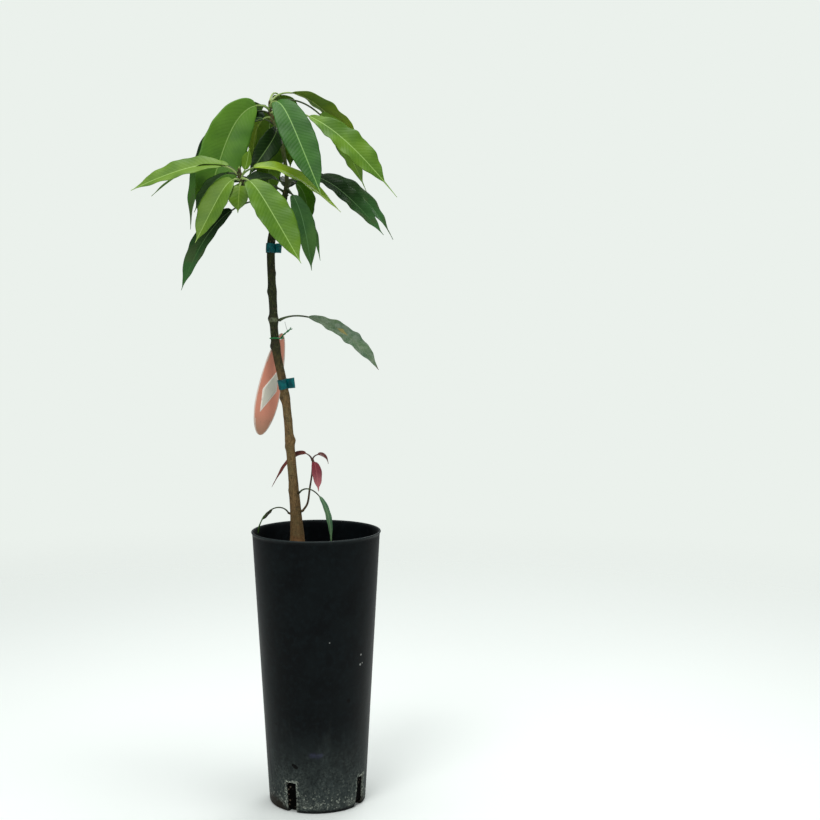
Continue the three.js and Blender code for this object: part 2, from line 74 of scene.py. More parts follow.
STEM_POINTS = [
    (-24, 0, 318.3),
    (-26, 1, 373),
    (-33, 3, 464),
    (-39, 3, 531),
    (-50.6, 0, 597),
    (-53.6, -3, 656),
    (-55.7, -2, 714),
    (-53, 0, 742),
    (-43, 2, 770),
    (-35, 1, 803),
    (-38, 0, 838),
    (-45, -1, 868),
    (-54, 0, 890),
    (-56, 0, 906),
]
TRUNK_RADIUS = 5.2
ROOT_FLARE = 7.5
FLARE_HEIGHT = 52
LEADER_RADIUS = 2.6
FORK_HEIGHT = 760
KNUCKLES = [475, 530, 597, 632, 667]
KNUCKLE_RISE = 0.7
KNUCKLE_REACH = 6
ROOT_LOBES = 5
ROOT_LOBE_DEPTH = 0.12
ROOT_LOBE_HEIGHT = 16
TRUNK_TOP = 768
MIDDLE_TOP = 812
TOP_FOOT = 872
LEFT_POINTS = [
    (-49.1, -4.4, 759.1),
    (-63, -33, 772),
    (-77, -58, 786),
    (-83.5, -70, 798),
    (-86, -75, 807),
    (-87, -77, 817),
]
LEFT_RADII = (3.2, 1.5)
LEFT_FOOT = 797
BUD_RADIUS = 1.3
TOP_BUDS = (880, 906, 22, 4111, 6)  # low, high, count, seed, size
FORK_BUDS = (772, 812, 14, 4127, 4.5)
LEFT_BUDS = (800, 817, 16, 4139, 5)
ROOT_MARGIN = 2

# ---------------------------------------------------------------- leaf plans

BELLY = 0.82
Leaf = namedtuple(
    "Leaf",
    "at heading rise droop bend petiole length width roll look swing sag belly thread wave",
    defaults=(0, 0, BELLY, 4, 0.7),
)

TOP_LEAVES = [
    # at, heading, rise, droop, bend, petiole, length, width, roll, look
    Leaf(0.72, -156, 50, 126, 0.15, 20, 177, 56, 80, "mid", sag=-8, wave=0.35),
    Leaf(0.1, 164, 40, 145, 0.58, 17, 198, 50, 42, "deep", sag=-20, wave=0.5),
    Leaf(0.85, -54, 65, 119, 0.1, 18, 159, 43, -22, "cool", wave=0.25),
    Leaf(0.94, 74, 86, 176, 0.34, 42, 106, 42, 0, "shaded"),
    Leaf(0.91, 34, 76, 120, 0.21, 39, 141, 46, 0, "lime"),
    Leaf(0.61, -14, 17, 67, 0.29, 52, 155, 40, -43, "bright", belly=1.1, thread=24, wave=1.0),
    Leaf(0.79, 21, 56, 121, 0.26, 74, 117, 37, -61, "olive", thread=12),
    Leaf(0.08, -71, -14, 44, 0.46, 17, 84, 27, 56, "dark", swing=-110),
    Leaf(0.4, 165, 34, 124, 0.2, 14, 70, 26, 0, "lime"),
]
LEFT_LEAVES = [
    Leaf(0.4, 184, 70, 90, 0.19, 28, 117, 34, 39, "fresh", sag=6),
    Leaf(0.3, -158, 38, 100, 0.1, 10, 92, 36, 41, "fresh", wave=0.35),
    Leaf(0.4, -37, 14, 67, 0.1, 15, 131, 48, -21, "bright", wave=0.35),
    Leaf(0.45, 10, 64, 102, 0.24, 21, 125, 28, -29, "lime", sag=5),
    Leaf(0.6, 0, 30, -52, 0.25, 10, 27, 17, -50, "bright", thread=2),
    Leaf(0.15, -94, -12, 60, 0.3, 10, 38, 26, 0, "shaded", thread=3),
    Leaf(0.5, 172, 66, 106, 0.34, 20, 110, 24, 20, "olive"),
]
MIDDLE_LEAVES = [
    Leaf(0.08, 186, 41, 111, 0.35, 67, 123, 39, 36, "dusk", wave=0.45),
    Leaf(0.8, -140, 34, 50, 0.5, 14, 54, 32, 20, "dark", thread=3),
    Leaf(0.7, -48, -24, 54, 0.3, 16, 104, 28, -10, "blue", wave=0.5),
    Leaf(0.6, -23, -13, 65, 0.3, 20, 85, 17, 3, "blue"),
    Leaf(0.85, 18, 37, 125, 0.25, 12, 57, 30, -55, "moss", thread=4),
    Leaf(0.75, -12, 65, 114, 0.23, 46, 114, 29, -36, "dusk"),
    Leaf(0.9, 4, 29, 92, 0.68, 44, 127, 30, -34, "dusk", thread=12),
]
Spares = namedtuple("Spares", "seed headings petiole length width droop looks")
TOP_SPARE = Spares(27183, [98, 126, 152], 24, 130, 40, 142, ["mid", "olive", "deep"])
LEFT_SPARE = Spares(62136, [160], 18, 78, 28, 100, ["deep"])
MIDDLE_SPARE = Spares(
    86679, [60, 84, 127, 141, 174], 24, 100, 32, 62, ["deep", "dark", "deep", "mid", "deep"]
)
SPARE_STRAY = 0.14
SPARE_TURN = 5
SPARE_ROLL = 16
SPARE_PLACES = (0.3, 0.8)
SPARE_RISES = (42, 54)
SPARE_BENDS = (0.3, 0.5)
CROWN_FLOOR = 640
LEAF_CLEARANCE = 4

TRUNK_LEAF = Leaf(
    630, -8, 32, 60, 0.22, 39, 116, 24, -40, "grey", sag=30, belly=1.05, thread=2, wave=1.5
)
LOW_RIGHT = Leaf(406.5, -35, 54, 144, 0.39, 38, 63, 8, -25, "teal", thread=3, wave=1.4)
LOW_LEFT = Leaf(378.5, 173, 73, 154, 0.45, 35, 31, 7, 20, "moss", belly=1.4, thread=1, wave=1.4)

SHOOT_HEIGHT = 382
SHOOT_HEADING = -14
SHOOT_POINTS = [(0, 0, 0), (7, 0, 11), (10, 0, 30), (13, 0, 50), (14, 0, 70)]
SHOOT_RADII = (1.5, 1.0)
SHOOT_LEAVES = [
    Leaf(0.95, 143, 76, 131, 0.23, 15, 81, 11, 50, "red", thread=4),
    Leaf(0.98, -62, -20, 56, 0.2, 5, 40, 14, 0, "rosy", thread=3),
    Leaf(0.97, 12, 88, 168, 0.8, 10, 21, 11, -20, "red", thread=2),
]
LEAF_FOLD = 14
PETIOLE_RADIUS = 1.25
PETIOLE_STEPS = 3
BLADE_STEPS = 8

TIE_HEIGHTS = {"tie_upper": (716, 728), "tie_lower": (541, 554)}
TIE_TAILS = {"tie_upper": (-15, 8), "tie_lower": (-25, 11)}
TAG_HEIGHT = 135
TAG_WIDTH = 39.5
TAG_HOLE_RADIUS = 2.4
TAG_HOLE_DOWN = 7
TAG_HANG = (-45, 16, 607)
TAG_LEAN = 12.5
TAG_TILT = 5
TAG_TURN = 45
LABEL_TIE_RADIUS = 0.9
LABEL_TIE_HALF_WIDTH = 7.4
LABEL_TIE_TAIL = [(0, 0, 0), (2, -3, 4), (13, -7, 13)]

# ---------------------------------------------------------------- small sums


def lerp(a, b, t):
    return a + (b - a) * t


def clamp(x, low=0.0, high=1.0):
    return max(low, min(high, x))


def smooth(x, low, high):
    t = clamp((x - low) / (high - low))
    return t * t * (3 - 2 * t)


def bell(x):
    return math.exp(-(x**2))


def heading_vector(degrees):
    return Vector((math.cos(math.radians(degrees)), math.sin(math.radians(degrees)), 0))


def wander(x, y, z=0.0):
    """Smooth noise between about -1 and 1."""
    return noise.noise(Vector((x, y, z)))


def dice(seed):
    """A repeatable stream of numbers between 0 and 1."""
    state = seed
    while True:
        state = (state * 16807) % 2147483647
        yield state / 2147483647


def where(value_at, wanted):
    """Where between 0 and 1 a rising function comes to a value."""
    low, high = 0.0, 1.0
    for _ in range(30):
        middle = (low + high) / 2
        if value_at(middle) < wanted:
            low = middle
        else:
            high = middle
    return (low + high) / 2


class Curve:
    """A smooth line through points."""

    def __init__(self, points):
        inner = [Vector(point) for point in points]
        self.points = [2 * inner[0] - inner[1], *inner, 2 * inner[-1] - inner[-2]]
        self.spans = len(inner) - 1

    def point(self, t):
        span = min(int(t * self.spans), self.spans - 1)
        w = t * self.spans - span
        before, start, end, after = self.points[span : span + 4]
        leave = (end - before) / 2
        arrive = (after - start) / 2
        bend = 3 * (end - start) - 2 * leave - arrive
        turn = 2 * (start - end) + leave + arrive
        return start + leave * w + bend * w**2 + turn * w**3

    def along(self, t):
        return (self.point(min(1, t + 1e-4)) - self.point(max(0, t - 1e-4))).normalized()

    def place_at(self, height):
        return where(lambda t: self.point(t).z, height)

    def at(self, height):
        return self.point(self.place_at(height))


# ---------------------------------------------------------------- finishes


def paint(red, green, blue):
    """A colour given as on a screen, 0 to 255, as Blender's linear one."""

    def linear(value):
        value /= 255
        return value / 12.92 if value <= 0.04045 else ((value + 0.055) / 1.055) ** 2.4

    return (linear(red), linear(green), linear(blue), 1)


def tinted(colour, red, green, blue):
    return (colour[0] * red, colour[1] * green, colour[2] * blue, 1)


class Wire:
    """A node's output, on which arithmetic adds Math nodes."""

    def __init__(self, finish, socket):
        self.finish = finish
        self.socket = socket

    def maths(self, operation, *values):
        inputs = dict(enumerate(values))
        return self.finish.node("ShaderNodeMath", {"operation": operation}, inputs)

    def __add__(self, other):
        return self.maths("ADD", self, other)

    def __radd__(self, other):
        return self.maths("ADD", other, self)

    def __sub__(self, other):
        return self.maths("SUBTRACT", self, other)

    def __rsub__(self, other):
        return self.maths("SUBTRACT", other, self)

    def __mul__(self, other):
        return self.maths("MULTIPLY", self, other)

    def __rmul__(self, other):
        return self.maths("MULTIPLY", other, self)

    def __truediv__(self, other):
        return self.maths("DIVIDE", self, other)

    def __abs__(self):
        return self.maths("ABSOLUTE", self)

    def over(self, low, high):
        """0 at low and 1 at high, in a smooth step. High may be the lower number."""
        settings = {"interpolation_type": "SMOOTHSTEP"}
        if low < high:
            return self.finish.node("ShaderNodeMapRange", settings, {0: self, 1: low, 2: high})
        return 1 - self.finish.node("ShaderNodeMapRange", settings, {0: self, 1: high, 2: low})


class Finish:
    """A material, made node by node."""

    def __init__(self, name):
        self.material = bpy.data.materials.new(name)
        self.material.use_nodes = True
        self.tree = self.material.node_tree
        self.shader = self.tree.nodes["Principled BSDF"]

    def node(self, kind, settings=None, inputs=None, output=0):
        made = self.tree.nodes.new(kind)
        for key, value in (settings or {}).items():
            setattr(made, key, value)
        self.plug(made, inputs or {})
        return Wire(self, made.outputs[output])

    def plug(self, made, inputs):
        for key, value in inputs.items():
            if isinstance(value, Wire):
                self.tree.links.new(value.socket, made.inputs[key])
            else:
                made.inputs[key].default_value = value

    def surface(self, skin, rough, normal=None, specular=0.5, **others):
        inputs = {"Base Color": skin, "Roughness": rough, "Specular IOR Level": specular}
        inputs.update({key.replace("_", " "): value for key, value in others.items()})
        if normal:
            inputs["Normal"] = normal
        self.plug(self.shader, inputs)
        return self.material

    def place(self):
        return self.node("ShaderNodeTexCoord", output="Object")

    def parts(self, vector, unit=1.0):
        """A vector's three numbers, each times a unit."""
        split = self.node("ShaderNodeSeparateXYZ", inputs={0: vector})
        outputs = split.socket.node.outputs
        return [Wire(self, socket) * unit for socket in outputs]

    def on_blade(self):
        """How far along a blade a place is and how far out from its rib, in millimetres."""
        return self.parts(self.node("ShaderNodeUVMap", {"uv_map": "blade"}))[:2]

    def cloud(self, size, detail, rough=0.5, stretch=None):
        """Noise whose patches are about size millimetres across, from 0 to 1."""
        vector = self.place()
        if stretch:
            vector = self.node("ShaderNodeVectorMath", {"operation": "MULTIPLY"}, {0: vector, 1: stretch})
        inputs = {"Vector": vector, "Scale": 1 / (size * MM), "Detail": detail, "Roughness": rough}
        return self.node("ShaderNodeTexNoise", inputs=inputs)

    def cells(self, size):
        """How far off the nearest of scattered points is, which stand about size millimetres apart."""
        inputs = {"Vector": self.place(), "Scale": 1 / (size * MM)}
        return self.node("ShaderNodeTexVoronoi", inputs=inputs)

    def mix(self, factor, first, second):
        settings = {"data_type": "RGBA"}
        return self.node("ShaderNodeMix", settings, {0: factor, 6: first, 7: second}, 2)

    def layered(self, skin, *layers):
        """A skin with colours laid over it, each through the mask before it."""
        for mask, colour in layers:
            skin = self.mix(mask, skin, colour)
        return skin

    def near(self, spots, blur):
        """1 within each spot's radius of it and 0 farther off. A spot is x, y, z, radius."""
        ragged = self.cloud(3, 3)
        masks = []
        for *centre, radius in spots:
            inputs = {0: self.place(), 1: Vector(centre) * MM}
            away = self.node("ShaderNodeVectorMath", {"operation": "DISTANCE"}, inputs, "Value")
            masks.append((away * (1000 / radius) + ragged).over(1.5 + blur, 1.5 - blur))
        return sum(masks[1:], masks[0])

    def bumped(self, height, depth, normal=None):
        """A bump whose full height is depth millimetres."""
        inputs = {"Strength": 1.0, "Distance": depth * MM, "Height": height}
        if normal:
            inputs["Normal"] = normal
        return self.node("ShaderNodeBump", inputs=inputs)


VEIN_SPACING = 5.6
VEIN_SLANT = 0.78
GLOSS = 0.38


def leaf_finish(name, colour, pale, gloss=GLOSS, sheen=0.2, end=None, dust=0.0, worn=None, blush=0.0):
    """A leaf's skin, whose veins follow the blade's own map in millimetres.

    End is a lighter colour at the tip, and where it begins and is full: painted light, over a base painted
    as in shade. Worn is how far along a blotch sits on the rib, and where the dry tip starts. Blush is how
    much paler the blade grows towards its tip."""
    finish = Finish(name)
    run, out = finish.on_blade()
    off = abs(out)
    soft = finish.cloud(9, 2)
    lean = (run - off * VEIN_SLANT - off * off * 0.007 + soft * 2.4) / VEIN_SPACING
    beside = lean.maths("PINGPONG", lean, 0.5) * VEIN_SPACING
    patch = finish.cloud(30, 4)
    speckle = finish.cloud(1.7, 3)
    dull = tinted(colour, 0.66, 0.74, 0.8)
    skin = finish.layered(
        dull,
        (patch.over(0.34, 0.66), colour),
        (finish.cloud(60, 2).over(0.42, 0.62) * 0.6, tinted(colour, 1.3, 1.14, 0.95)),
        (speckle.over(0.45, 0.75) * 0.15, dull),
        (beside.over(0.55, 0.1) * off.over(24, 3) * 0.1, pale),
        (off.over(0.85, 0.3) * 0.7, pale),
    )
    # Painted light and shade: the blade lightens towards its tip from a darker base painted as in shade.
    if end:
        tone, begin, full = end
        tip = (run + soft * 24).over(begin, full) * 0.85
        sere = finish.cloud(26, 3).over(0.46, 0.6) * run.over(begin - 16, full - 40) * 0.5
        skin = finish.layered(skin, (tip, tone), (sere, paint(70, 80, 50)))
    if dust:
        skin = finish.mix(finish.cloud(7, 5).over(0.35, 0.7) * dust, skin, paint(168, 176, 160))
    if blush:
        skin = finish.mix(run.over(6, 36) * blush, skin, paint(206, 128, 132))
    if worn:
        blotch = (abs(run - worn[0]) * 0.12 + abs(out + 1) * 0.3 + soft * 1.6).over(1.9, 1.4) * 0.8
        dry = (run + soft * 4).over(worn[1], worn[1] + 3) * 0.9
        skin = finish.layered(skin, (blotch, paint(150, 136, 76)), (dry, paint(78, 62, 40)))
    quilt = beside.over(0.0, 2.6) * 0.7 + finish.cells(1.3) * 0.2 + soft * 0.6
    rough = gloss + speckle * 0.1 + patch * 0.1
    return finish.surface(skin, rough, finish.bumped(quilt, 0.1), sheen)


def stalk_finish(name, colour, dark):
    finish = Finish(name)
    skin = finish.mix(finish.cloud(9, 3).over(0.35, 0.7), colour, dark)
    return finish.surface(skin, 0.5, finish.bumped(finish.cloud(0.8, 2), 0.08), 0.35)


# Each look has its upper side, its underside and its rib.
LOOKS = {
    "fresh": [(94, 130, 42), (112, 142, 36), (158, 190, 104)],
    "bright": [(86, 124, 26), (104, 140, 30), (152, 186, 100)],
    "mid": [(80, 126, 34), (92, 130, 24), (146, 182, 96)],
    "cool": [(38, 90, 8), (86, 124, 20), (130, 172, 88)],
    "olive": [(86, 124, 28), (82, 124, 12), (130, 164, 80)],
    "lime": [(114, 148, 20), (112, 144, 30), (166, 190, 90)],
    "shaded": [(84, 118, 8), (84, 118, 8), (108, 138, 30)],
    "deep": [(10, 44, 0), (30, 66, 0), (84, 120, 54)],
    "dusk": [(18, 48, 6), (52, 92, 20), (92, 124, 76)],
    "moss": [(50, 92, 12), (60, 100, 14), (96, 132, 66)],
    "blue": [(68, 108, 54), (66, 104, 38), (94, 136, 84)],
    "dark": [(20, 44, 8), (40, 72, 8), (100, 128, 70)],
    "grey": [(92, 118, 86), (90, 114, 80), (104, 122, 86)],
    "teal": [(80, 118, 82), (84, 120, 78), (122, 150, 108)],
    "red": [(104, 52, 46), (120, 70, 60), (124, 66, 56)],
    "rosy": [(122, 44, 54), (150, 78, 84), (150, 80, 80)],
}
# Deep and dusk leaves are dark at the base and painted lighter towards the tip through end: painted shade at
# the base, painted light at the tip.
EXTRAS = {
    "deep": {"sheen": 0.1, "end": (paint(66, 108, 40), 110, 165)},
    "dusk": {"sheen": 0.1, "end": (paint(60, 104, 54), 46, 120)},
    "dark": {"sheen": 0.1},
    "moss": {"sheen": 0.1},
    "blue": {"sheen": 0.1},
    "grey": {"gloss": 0.6, "dust": 0.3, "worn": (48, 112)},
    "rosy": {"blush": 0.55},
}
UNDERSIDE_DULLER = 0.15
PALE_STALKS = {"fresh", "bright", "mid", "cool", "lime", "shaded"}
RED_STALKS = {"red", "rosy"}
blade_finishes = {}
rib_finishes = {}
for look, colours in LOOKS.items():
    upper, under, rib = (paint(*colour) for colour in colours)
    extras = EXTRAS.get(look, {})
    blade_finishes[look] = (
        leaf_finish("leaf_" + look, upper, rib, **extras),
        leaf_finish("leaf_" + look + "_under", under, rib, extras.get("gloss", GLOSS) + UNDERSIDE_DULLER),
    )
    rib_finishes[look] = stalk_finish("rib_" + look, rib, tinted(rib, 0.8, 0.8, 0.8))
pale_stalk = stalk_finish("petiole_pale", paint(146, 168, 96), paint(112, 140, 66))
dark_stalk = stalk_finish("petiole_dark", paint(64, 82, 40), paint(40, 48, 26))
red_stalk = stalk_finish("petiole_red", paint(96, 58, 46), paint(66, 42, 34))
dry_finish = stalk_finish("dry_tip", paint(112, 82, 52), paint(70, 50, 34))
scale_finish = stalk_finish("bud_scale", paint(92, 72, 34), paint(42, 32, 16))


def dry_blade_finish():
    finish = Finish("dry_blade")
    _, out = finish.on_blade()
    skin = finish.layered(
        paint(150, 148, 128),
        (finish.cloud(3, 3).over(0.4, 0.6), paint(110, 112, 84)),
        (abs(out).over(0.7, 1.2), paint(40, 30, 26)),
    )
    return finish.surface(skin, 0.8)


# The pot's marks, each a few spots: x, y, z, radius.
NICKS = [(-27.6, -60.7, 63.9, 2.1), (-25.4, -61.6, 62.4, 2.6), (-23.2, -62.4, 61.2, 2.2)]
NICKS += [(44.1, -56.4, 147, 2.9), (-50, -48.4, 114, 1.7)]
SCUFFS = [(59.4, -45.1, 204, 1.3), (58.6, -45.2, 191, 1.5), (61, -42.2, 192.6, 1.0), (21, -73.3, 226, 1.1)]
SMEAR = [(-5, -67.4, 78, 3.2), (-1, -67.6, 78.5, 3.6), (3, -67.5, 77.5, 3.6), (7, -67.2, 78, 3.4)]
SMEAR += [(10, -66.9, 79, 2.6)]
STAINS = [(-52, -34, 5, 11), (-44, -45, 3, 9), (-57, -20, 5, 10), (56, -24, 5, 8)]


def pot_finish():
    """Black plastic, dusty towards its foot, with a pale crust along the foot and round the slots, painted
    shade along its lowest few millimetres and a painted highlight round the top of the lip.
    """
    finish = Finish("pot_plastic")
    x, y, z = finish.parts(finish.place(), 1000)
    drift = finish.cloud(45, 4, 0.6)
    mottle = finish.cloud(7, 5, 0.65)
    grime = finish.cloud(3.2, 6, 0.75)
    clumps = finish.cloud(14, 3, 0.6).over(0.4, 0.6)
    rain = finish.cloud(12, 4, 0.6, stretch=(1, 1, 0.25))
    fine = finish.cloud(1.7, 6, 0.75)
    heading = y.maths("ARCTAN2", y, x) * (180 / math.pi)
    turned = heading - FIRST_SLOT_HEADING
    off = turned.maths("PINGPONG", turned, 180 / SLOT_COUNT)
    beside = off * (FOOT_RADIUS * math.pi / 180) - SLOT_HALF_TURN * 1.1
    outside = beside.maths("MAXIMUM", beside, z - SLOT_HEIGHT)
    haze = z.over(125, -6) * (mottle * 0.9 + grime * 0.5 + drift * 0.2)
    soiled = clumps.maths("MAXIMUM", clumps * 0.7, outside.over(22, 4)) * z.over(95, 10)
    run = abs(heading + z * 0.07 + 149) + abs(z - 55) * 0.01
    specks = finish.cells(4.4).over(0.42, 0.2) * fine.over(0.4, 0.56)
    rough_edge = outside + mottle * 12 - 6.0
    rim = rough_edge.over(4.4, 0.6) * fine.over(0.36, 0.5)
    low = z.over(30, 9) * z.over(4.5, 8) * specks * (clumps * 0.8 + 0.2)
    powder = z.over(24, 9) * z.over(4, 8) * fine.over(0.44, 0.58) * (clumps * 0.7 + 0.15)
    crust = rim.maths("MAXIMUM", rim * grime.over(0.4, 0.56), low + powder * 0.75)
    crust = (crust + z.over(60, 14) * specks * 0.4).over(0, 1)
    skin = finish.layered(
        paint(2, 5, 7),
        (drift.over(0.4, 0.62) * 0.8, paint(8, 15, 17)),
        (mottle.over(0.45, 0.7) * 0.6, paint(13, 22, 25)),
        (haze * 0.7, paint(70, 78, 76)),
        (rain.over(0.5, 0.75) * z.over(150, 40) * 0.25, paint(74, 82, 80)),
        (rain.over(0.42, 0.28) * z.over(150, 40) * 0.4, paint(8, 12, 13)),
        (grime.over(0.48, 0.36) * z.over(120, 30) * 0.7, paint(10, 14, 15)),
        (grime.over(0.48, 0.62) * soiled * 0.42, paint(112, 120, 110)),
        (run.over(1.9, 1.1) * z.over(86, 78) * z.over(24, 34) * 0.7, paint(8, 11, 12)),
        (crust * 0.9, paint(160, 166, 154)),
        # Painted shade: the lowest few millimetres are darkened where the foot meets the floor.
        ((z + grime * 4).over(8, 4.5) * 0.85, paint(5, 7, 7)),
        (finish.near(STAINS, 0.5) * 0.85, paint(34, 29, 21)),
        # A pale band round the top of the lip: a painted highlight along its rolled edge, with some wear.
        (z.over(POT_HEIGHT - 2.4, POT_HEIGHT - 1) * 0.5, paint(58, 66, 66)),
        (finish.near(NICKS, 0.2), paint(0, 0, 0)),
        (finish.near(SCUFFS, 0.2) * 0.8, paint(150, 152, 148)),
        ((finish.near(SMEAR, 0.9) * 0.2).over(0, 1), paint(70, 68, 100)),
    )
    rough = 0.4 + drift * 0.14 + haze * 0.3 + crust * 0.3
    relief = finish.cloud(0.7, 2) * 0.5 + crust * 3 + grime * 0.8 * z.over(140, 40)
    normal = finish.bumped(relief, 0.12, finish.bumped(finish.cloud(38, 2), 0.5))
    return finish.surface(skin, rough, normal, 0.09, Sheen_Weight=0.07, Sheen_Roughness=0.3)


def mix_finish():
    finish = Finish("potting_mix")
    lumps = finish.cloud(6, 6, 0.7)
    grit = finish.cells(2.2)
    _, _, z = finish.parts(finish.place(), 1000)
    grains = finish.cells(5).over(0.3, 0.2) * lumps.over(0.45, 0.6) * z.over(60, 50) * 0.7
    skin = finish.layered(
        paint(28, 21, 16),
        (lumps.over(0.3, 0.7), paint(78, 60, 44)),
        (grit.over(0.22, 0.1) * 0.7, paint(150, 138, 120)),
        # Painted shade: the mix goes near black below about 270 mm, where it lies inside the pot and shows
        # only through the slots.
        (z.over(290, 250), paint(1, 1, 1)),
        (grains, paint(120, 108, 92)),
    )
    return finish.surface(skin, 0.95, finish.bumped(lumps + grit * 0.5, 1.2), 0.05)


def chip_finish(name, colour, dark):
    finish = Finish(name)
    patch = finish.cloud(4, 4, 0.6, stretch=(1, 1, 0.4))
    skin = finish.mix(patch.over(0.35, 0.65), colour, dark)
    return finish.surface(skin, 0.9, finish.bumped(patch, 0.5))


SCARS = [(-58, -4, 632.8, 3.4), (-55, -4, 597, 3.2), (-45, -3, 530, 3.4)]
SCARS += [(-29, -6, 479, 3.6), (-33, -8, 404, 2.2), (-30, -9, 376, 2.2)]


def bark_finish():
    """Olive-tan at the foot, dark green-brown higher up, with dark mottles and marks round it."""
    finish = Finish("bark")
    _, _, z = finish.parts(finish.place(), 1000)
    broad = finish.cloud(24, 4, 0.6)
    grain = finish.cloud(2.0, 5, 0.6, stretch=(1, 1, 0.4))
    spots = finish.cloud(3.4, 4, 0.6)
    marks = finish.cloud(7, 3, 0.5, stretch=(0.4, 0.4, 2.6)).over(0.58, 0.7) * 0.5
    ring = abs(z - 632.5 + grain * 3).over(3.6, 1.4) * spots.over(0.3, 0.5)
    green = finish.mix(grain.over(0.35, 0.65), paint(18, 23, 6), paint(46, 52, 18))
    young = finish.mix(grain.over(0.3, 0.7), paint(66, 78, 38), paint(92, 102, 54))
    skin = finish.layered(
        paint(90, 70, 40),
        (grain.over(0.3, 0.7), paint(130, 104, 66)),
        ((z + broad * 60).over(430, 350) * 0.6, paint(124, 84, 48)),
        (broad.over(0.46, 0.64) * 0.4, paint(92, 88, 54)),
        ((z + broad * 90 - 45).over(500, 620), green),
        (z.over(770, 840), young),
        (spots.over(0.6, 0.7) * 0.3, paint(150, 146, 112)),
        (spots.over(0.42, 0.34) * 0.5, paint(36, 31, 19)),
        (marks, paint(52, 42, 26)),
        (ring * 0.6, paint(120, 128, 100)),
        (finish.near(SCARS, 0.5) * 0.7, paint(34, 26, 18)),
        ((z + broad * 16).over(336, 322) * 0.7, paint(44, 34, 26)),
    )
    normal = finish.bumped(grain * 0.8 + spots * 0.4 - marks, 0.5)
    return finish.surface(skin, 0.72 + grain * 0.15, normal, 0.3)


def ribbon_finish():
    finish = Finish("tie_teal")
    skin = finish.layered(
        paint(0, 68, 74),
        (finish.cloud(5, 3).over(0.35, 0.65), paint(0, 98, 100)),
        (finish.cloud(2.5, 4).over(0.66, 0.74) * 0.3, paint(80, 128, 124)),
    )
    weave = finish.cloud(1.2, 2, stretch=(1, 1, 3))
    return finish.surface(skin, 0.38, finish.bumped(weave, 0.12), 0.25)


def wire_finish(name, colour, rough, metal=0.0):
    finish = Finish(name)
    scratch = finish.cloud(1.5, 3).over(0.4, 0.7) * 0.5
    return finish.surface(finish.mix(scratch, colour, tinted(colour, 0.6, 0.6, 0.6)), rough, Metallic=metal)


def card_finish(name, colour, worn):
    finish = Finish(name)
    _, _, z = finish.parts(finish.place(), 1000)
    fade = finish.cloud(30, 4)
    fibre = finish.cloud(0.9, 3)
    skin = finish.layered(
        colour,
        ((z + fade * 30).over(540, 480), worn),
        (fibre.over(0.55, 0.8) * 0.3, worn),
        (finish.cloud(6, 5).over(0.62, 0.72) * 0.35, paint(120, 90, 74)),
    )
    return finish.surface(skin, 0.5 + fade * 0.15, finish.bumped(fibre, 0.05))


# ---------------------------------------------------------------- making meshes


def grid(bm, across, along, place, material=0, closed=False):
    """A sheet of points set by place(u, row): u is -1 to 1 across it, and row counts along it.

    place gives the point and its spot on the blade map. A closed sheet meets itself as a tube."""
    layer = bm.loops.layers.uv.get("blade") or bm.loops.layers.uv.new("blade")
    made = bmesh.ops.create_grid(bm, x_segments=across, y_segments=along, size=1)["verts"]
    spots = {}
    for vert in made:
        row = round((vert.co.y + 1) / 2 * along)
        vert.co, spots[vert] = place(vert.co.x, row)
    for face in {face for vert in made for face in vert.link_faces}:
        face.material_index = material
        for loop in face.loops:
            loop[layer].uv = spots[loop.vert]
    if closed:
        bmesh.ops.remove_doubles(bm, verts=made, dist=1e-4)


def tube(bm, sides, rings, material, shape=None):
    """A closed tube through rings of point, side, normal, radius. Both ends close to a point."""
    first, last = rings[0], rings[-1]
    rings = [(*first[:3], 0), *rings, (*last[:3], 0)]

    def place(u, row):
        point, side, normal, radius = rings[row]
        angle = math.pi * u
        radius *= shape(row, angle) if shape and radius else 1
        spot = point + side * (radius * math.cos(angle)) + normal * (radius * math.sin(angle))
        return spot, (row, u)

    grid(bm, sides, len(rings) - 1, place, material, closed=True)


def across(along):
    """A side and a normal that stand square to a direction."""
    side = Vector((0, 1, 0)).cross(along).normalized()
    return side, side.cross(along)


def placed(name, data):
    made = bpy.data.objects.new(name, data)
    bpy.context.scene.collection.objects.link(made)
    return made


def mesh_from(name, bm):
    mesh = bpy.data.meshes.new(name)
    bm.to_mesh(mesh)
    bm.free()
    return mesh


def piece(name, bm, finishes, nodes, slot, crease=None, thickness=0.0, back=0):
    """A finished piece from a mesh in millimetres, either closed or an open sheet with a thickness.

    Back is how many materials further on those of a sheet's other side are."""
    if not thickness:
        bmesh.ops.recalc_face_normals(bm, faces=bm.faces)
    bmesh.ops.scale(bm, vec=(MM, MM, MM), verts=bm.verts)
    for face in bm.faces:
        face.smooth = True
    made = placed(name, mesh_from(name, bm))
    if crease:
        made.data.set_sharp_from_angle(angle=math.radians(crease))
    for finish in finishes:
        made.data.materials.append(finish)
    if thickness:
        shell = made.modifiers.new("thickness", "SOLIDIFY")
        shell.thickness = thickness * MM
        shell.offset = 0
        shell.material_offset = back
    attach(made, "root")
    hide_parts(*nodes)


# ---------------------------------------------------------------- leaves


def blade_shape(t, belly):
    return math.sin(math.pi * t**belly) ** lerp(0.55, 0.8, t)


Station = namedtuple("Station", "point along side normal half_width share run")


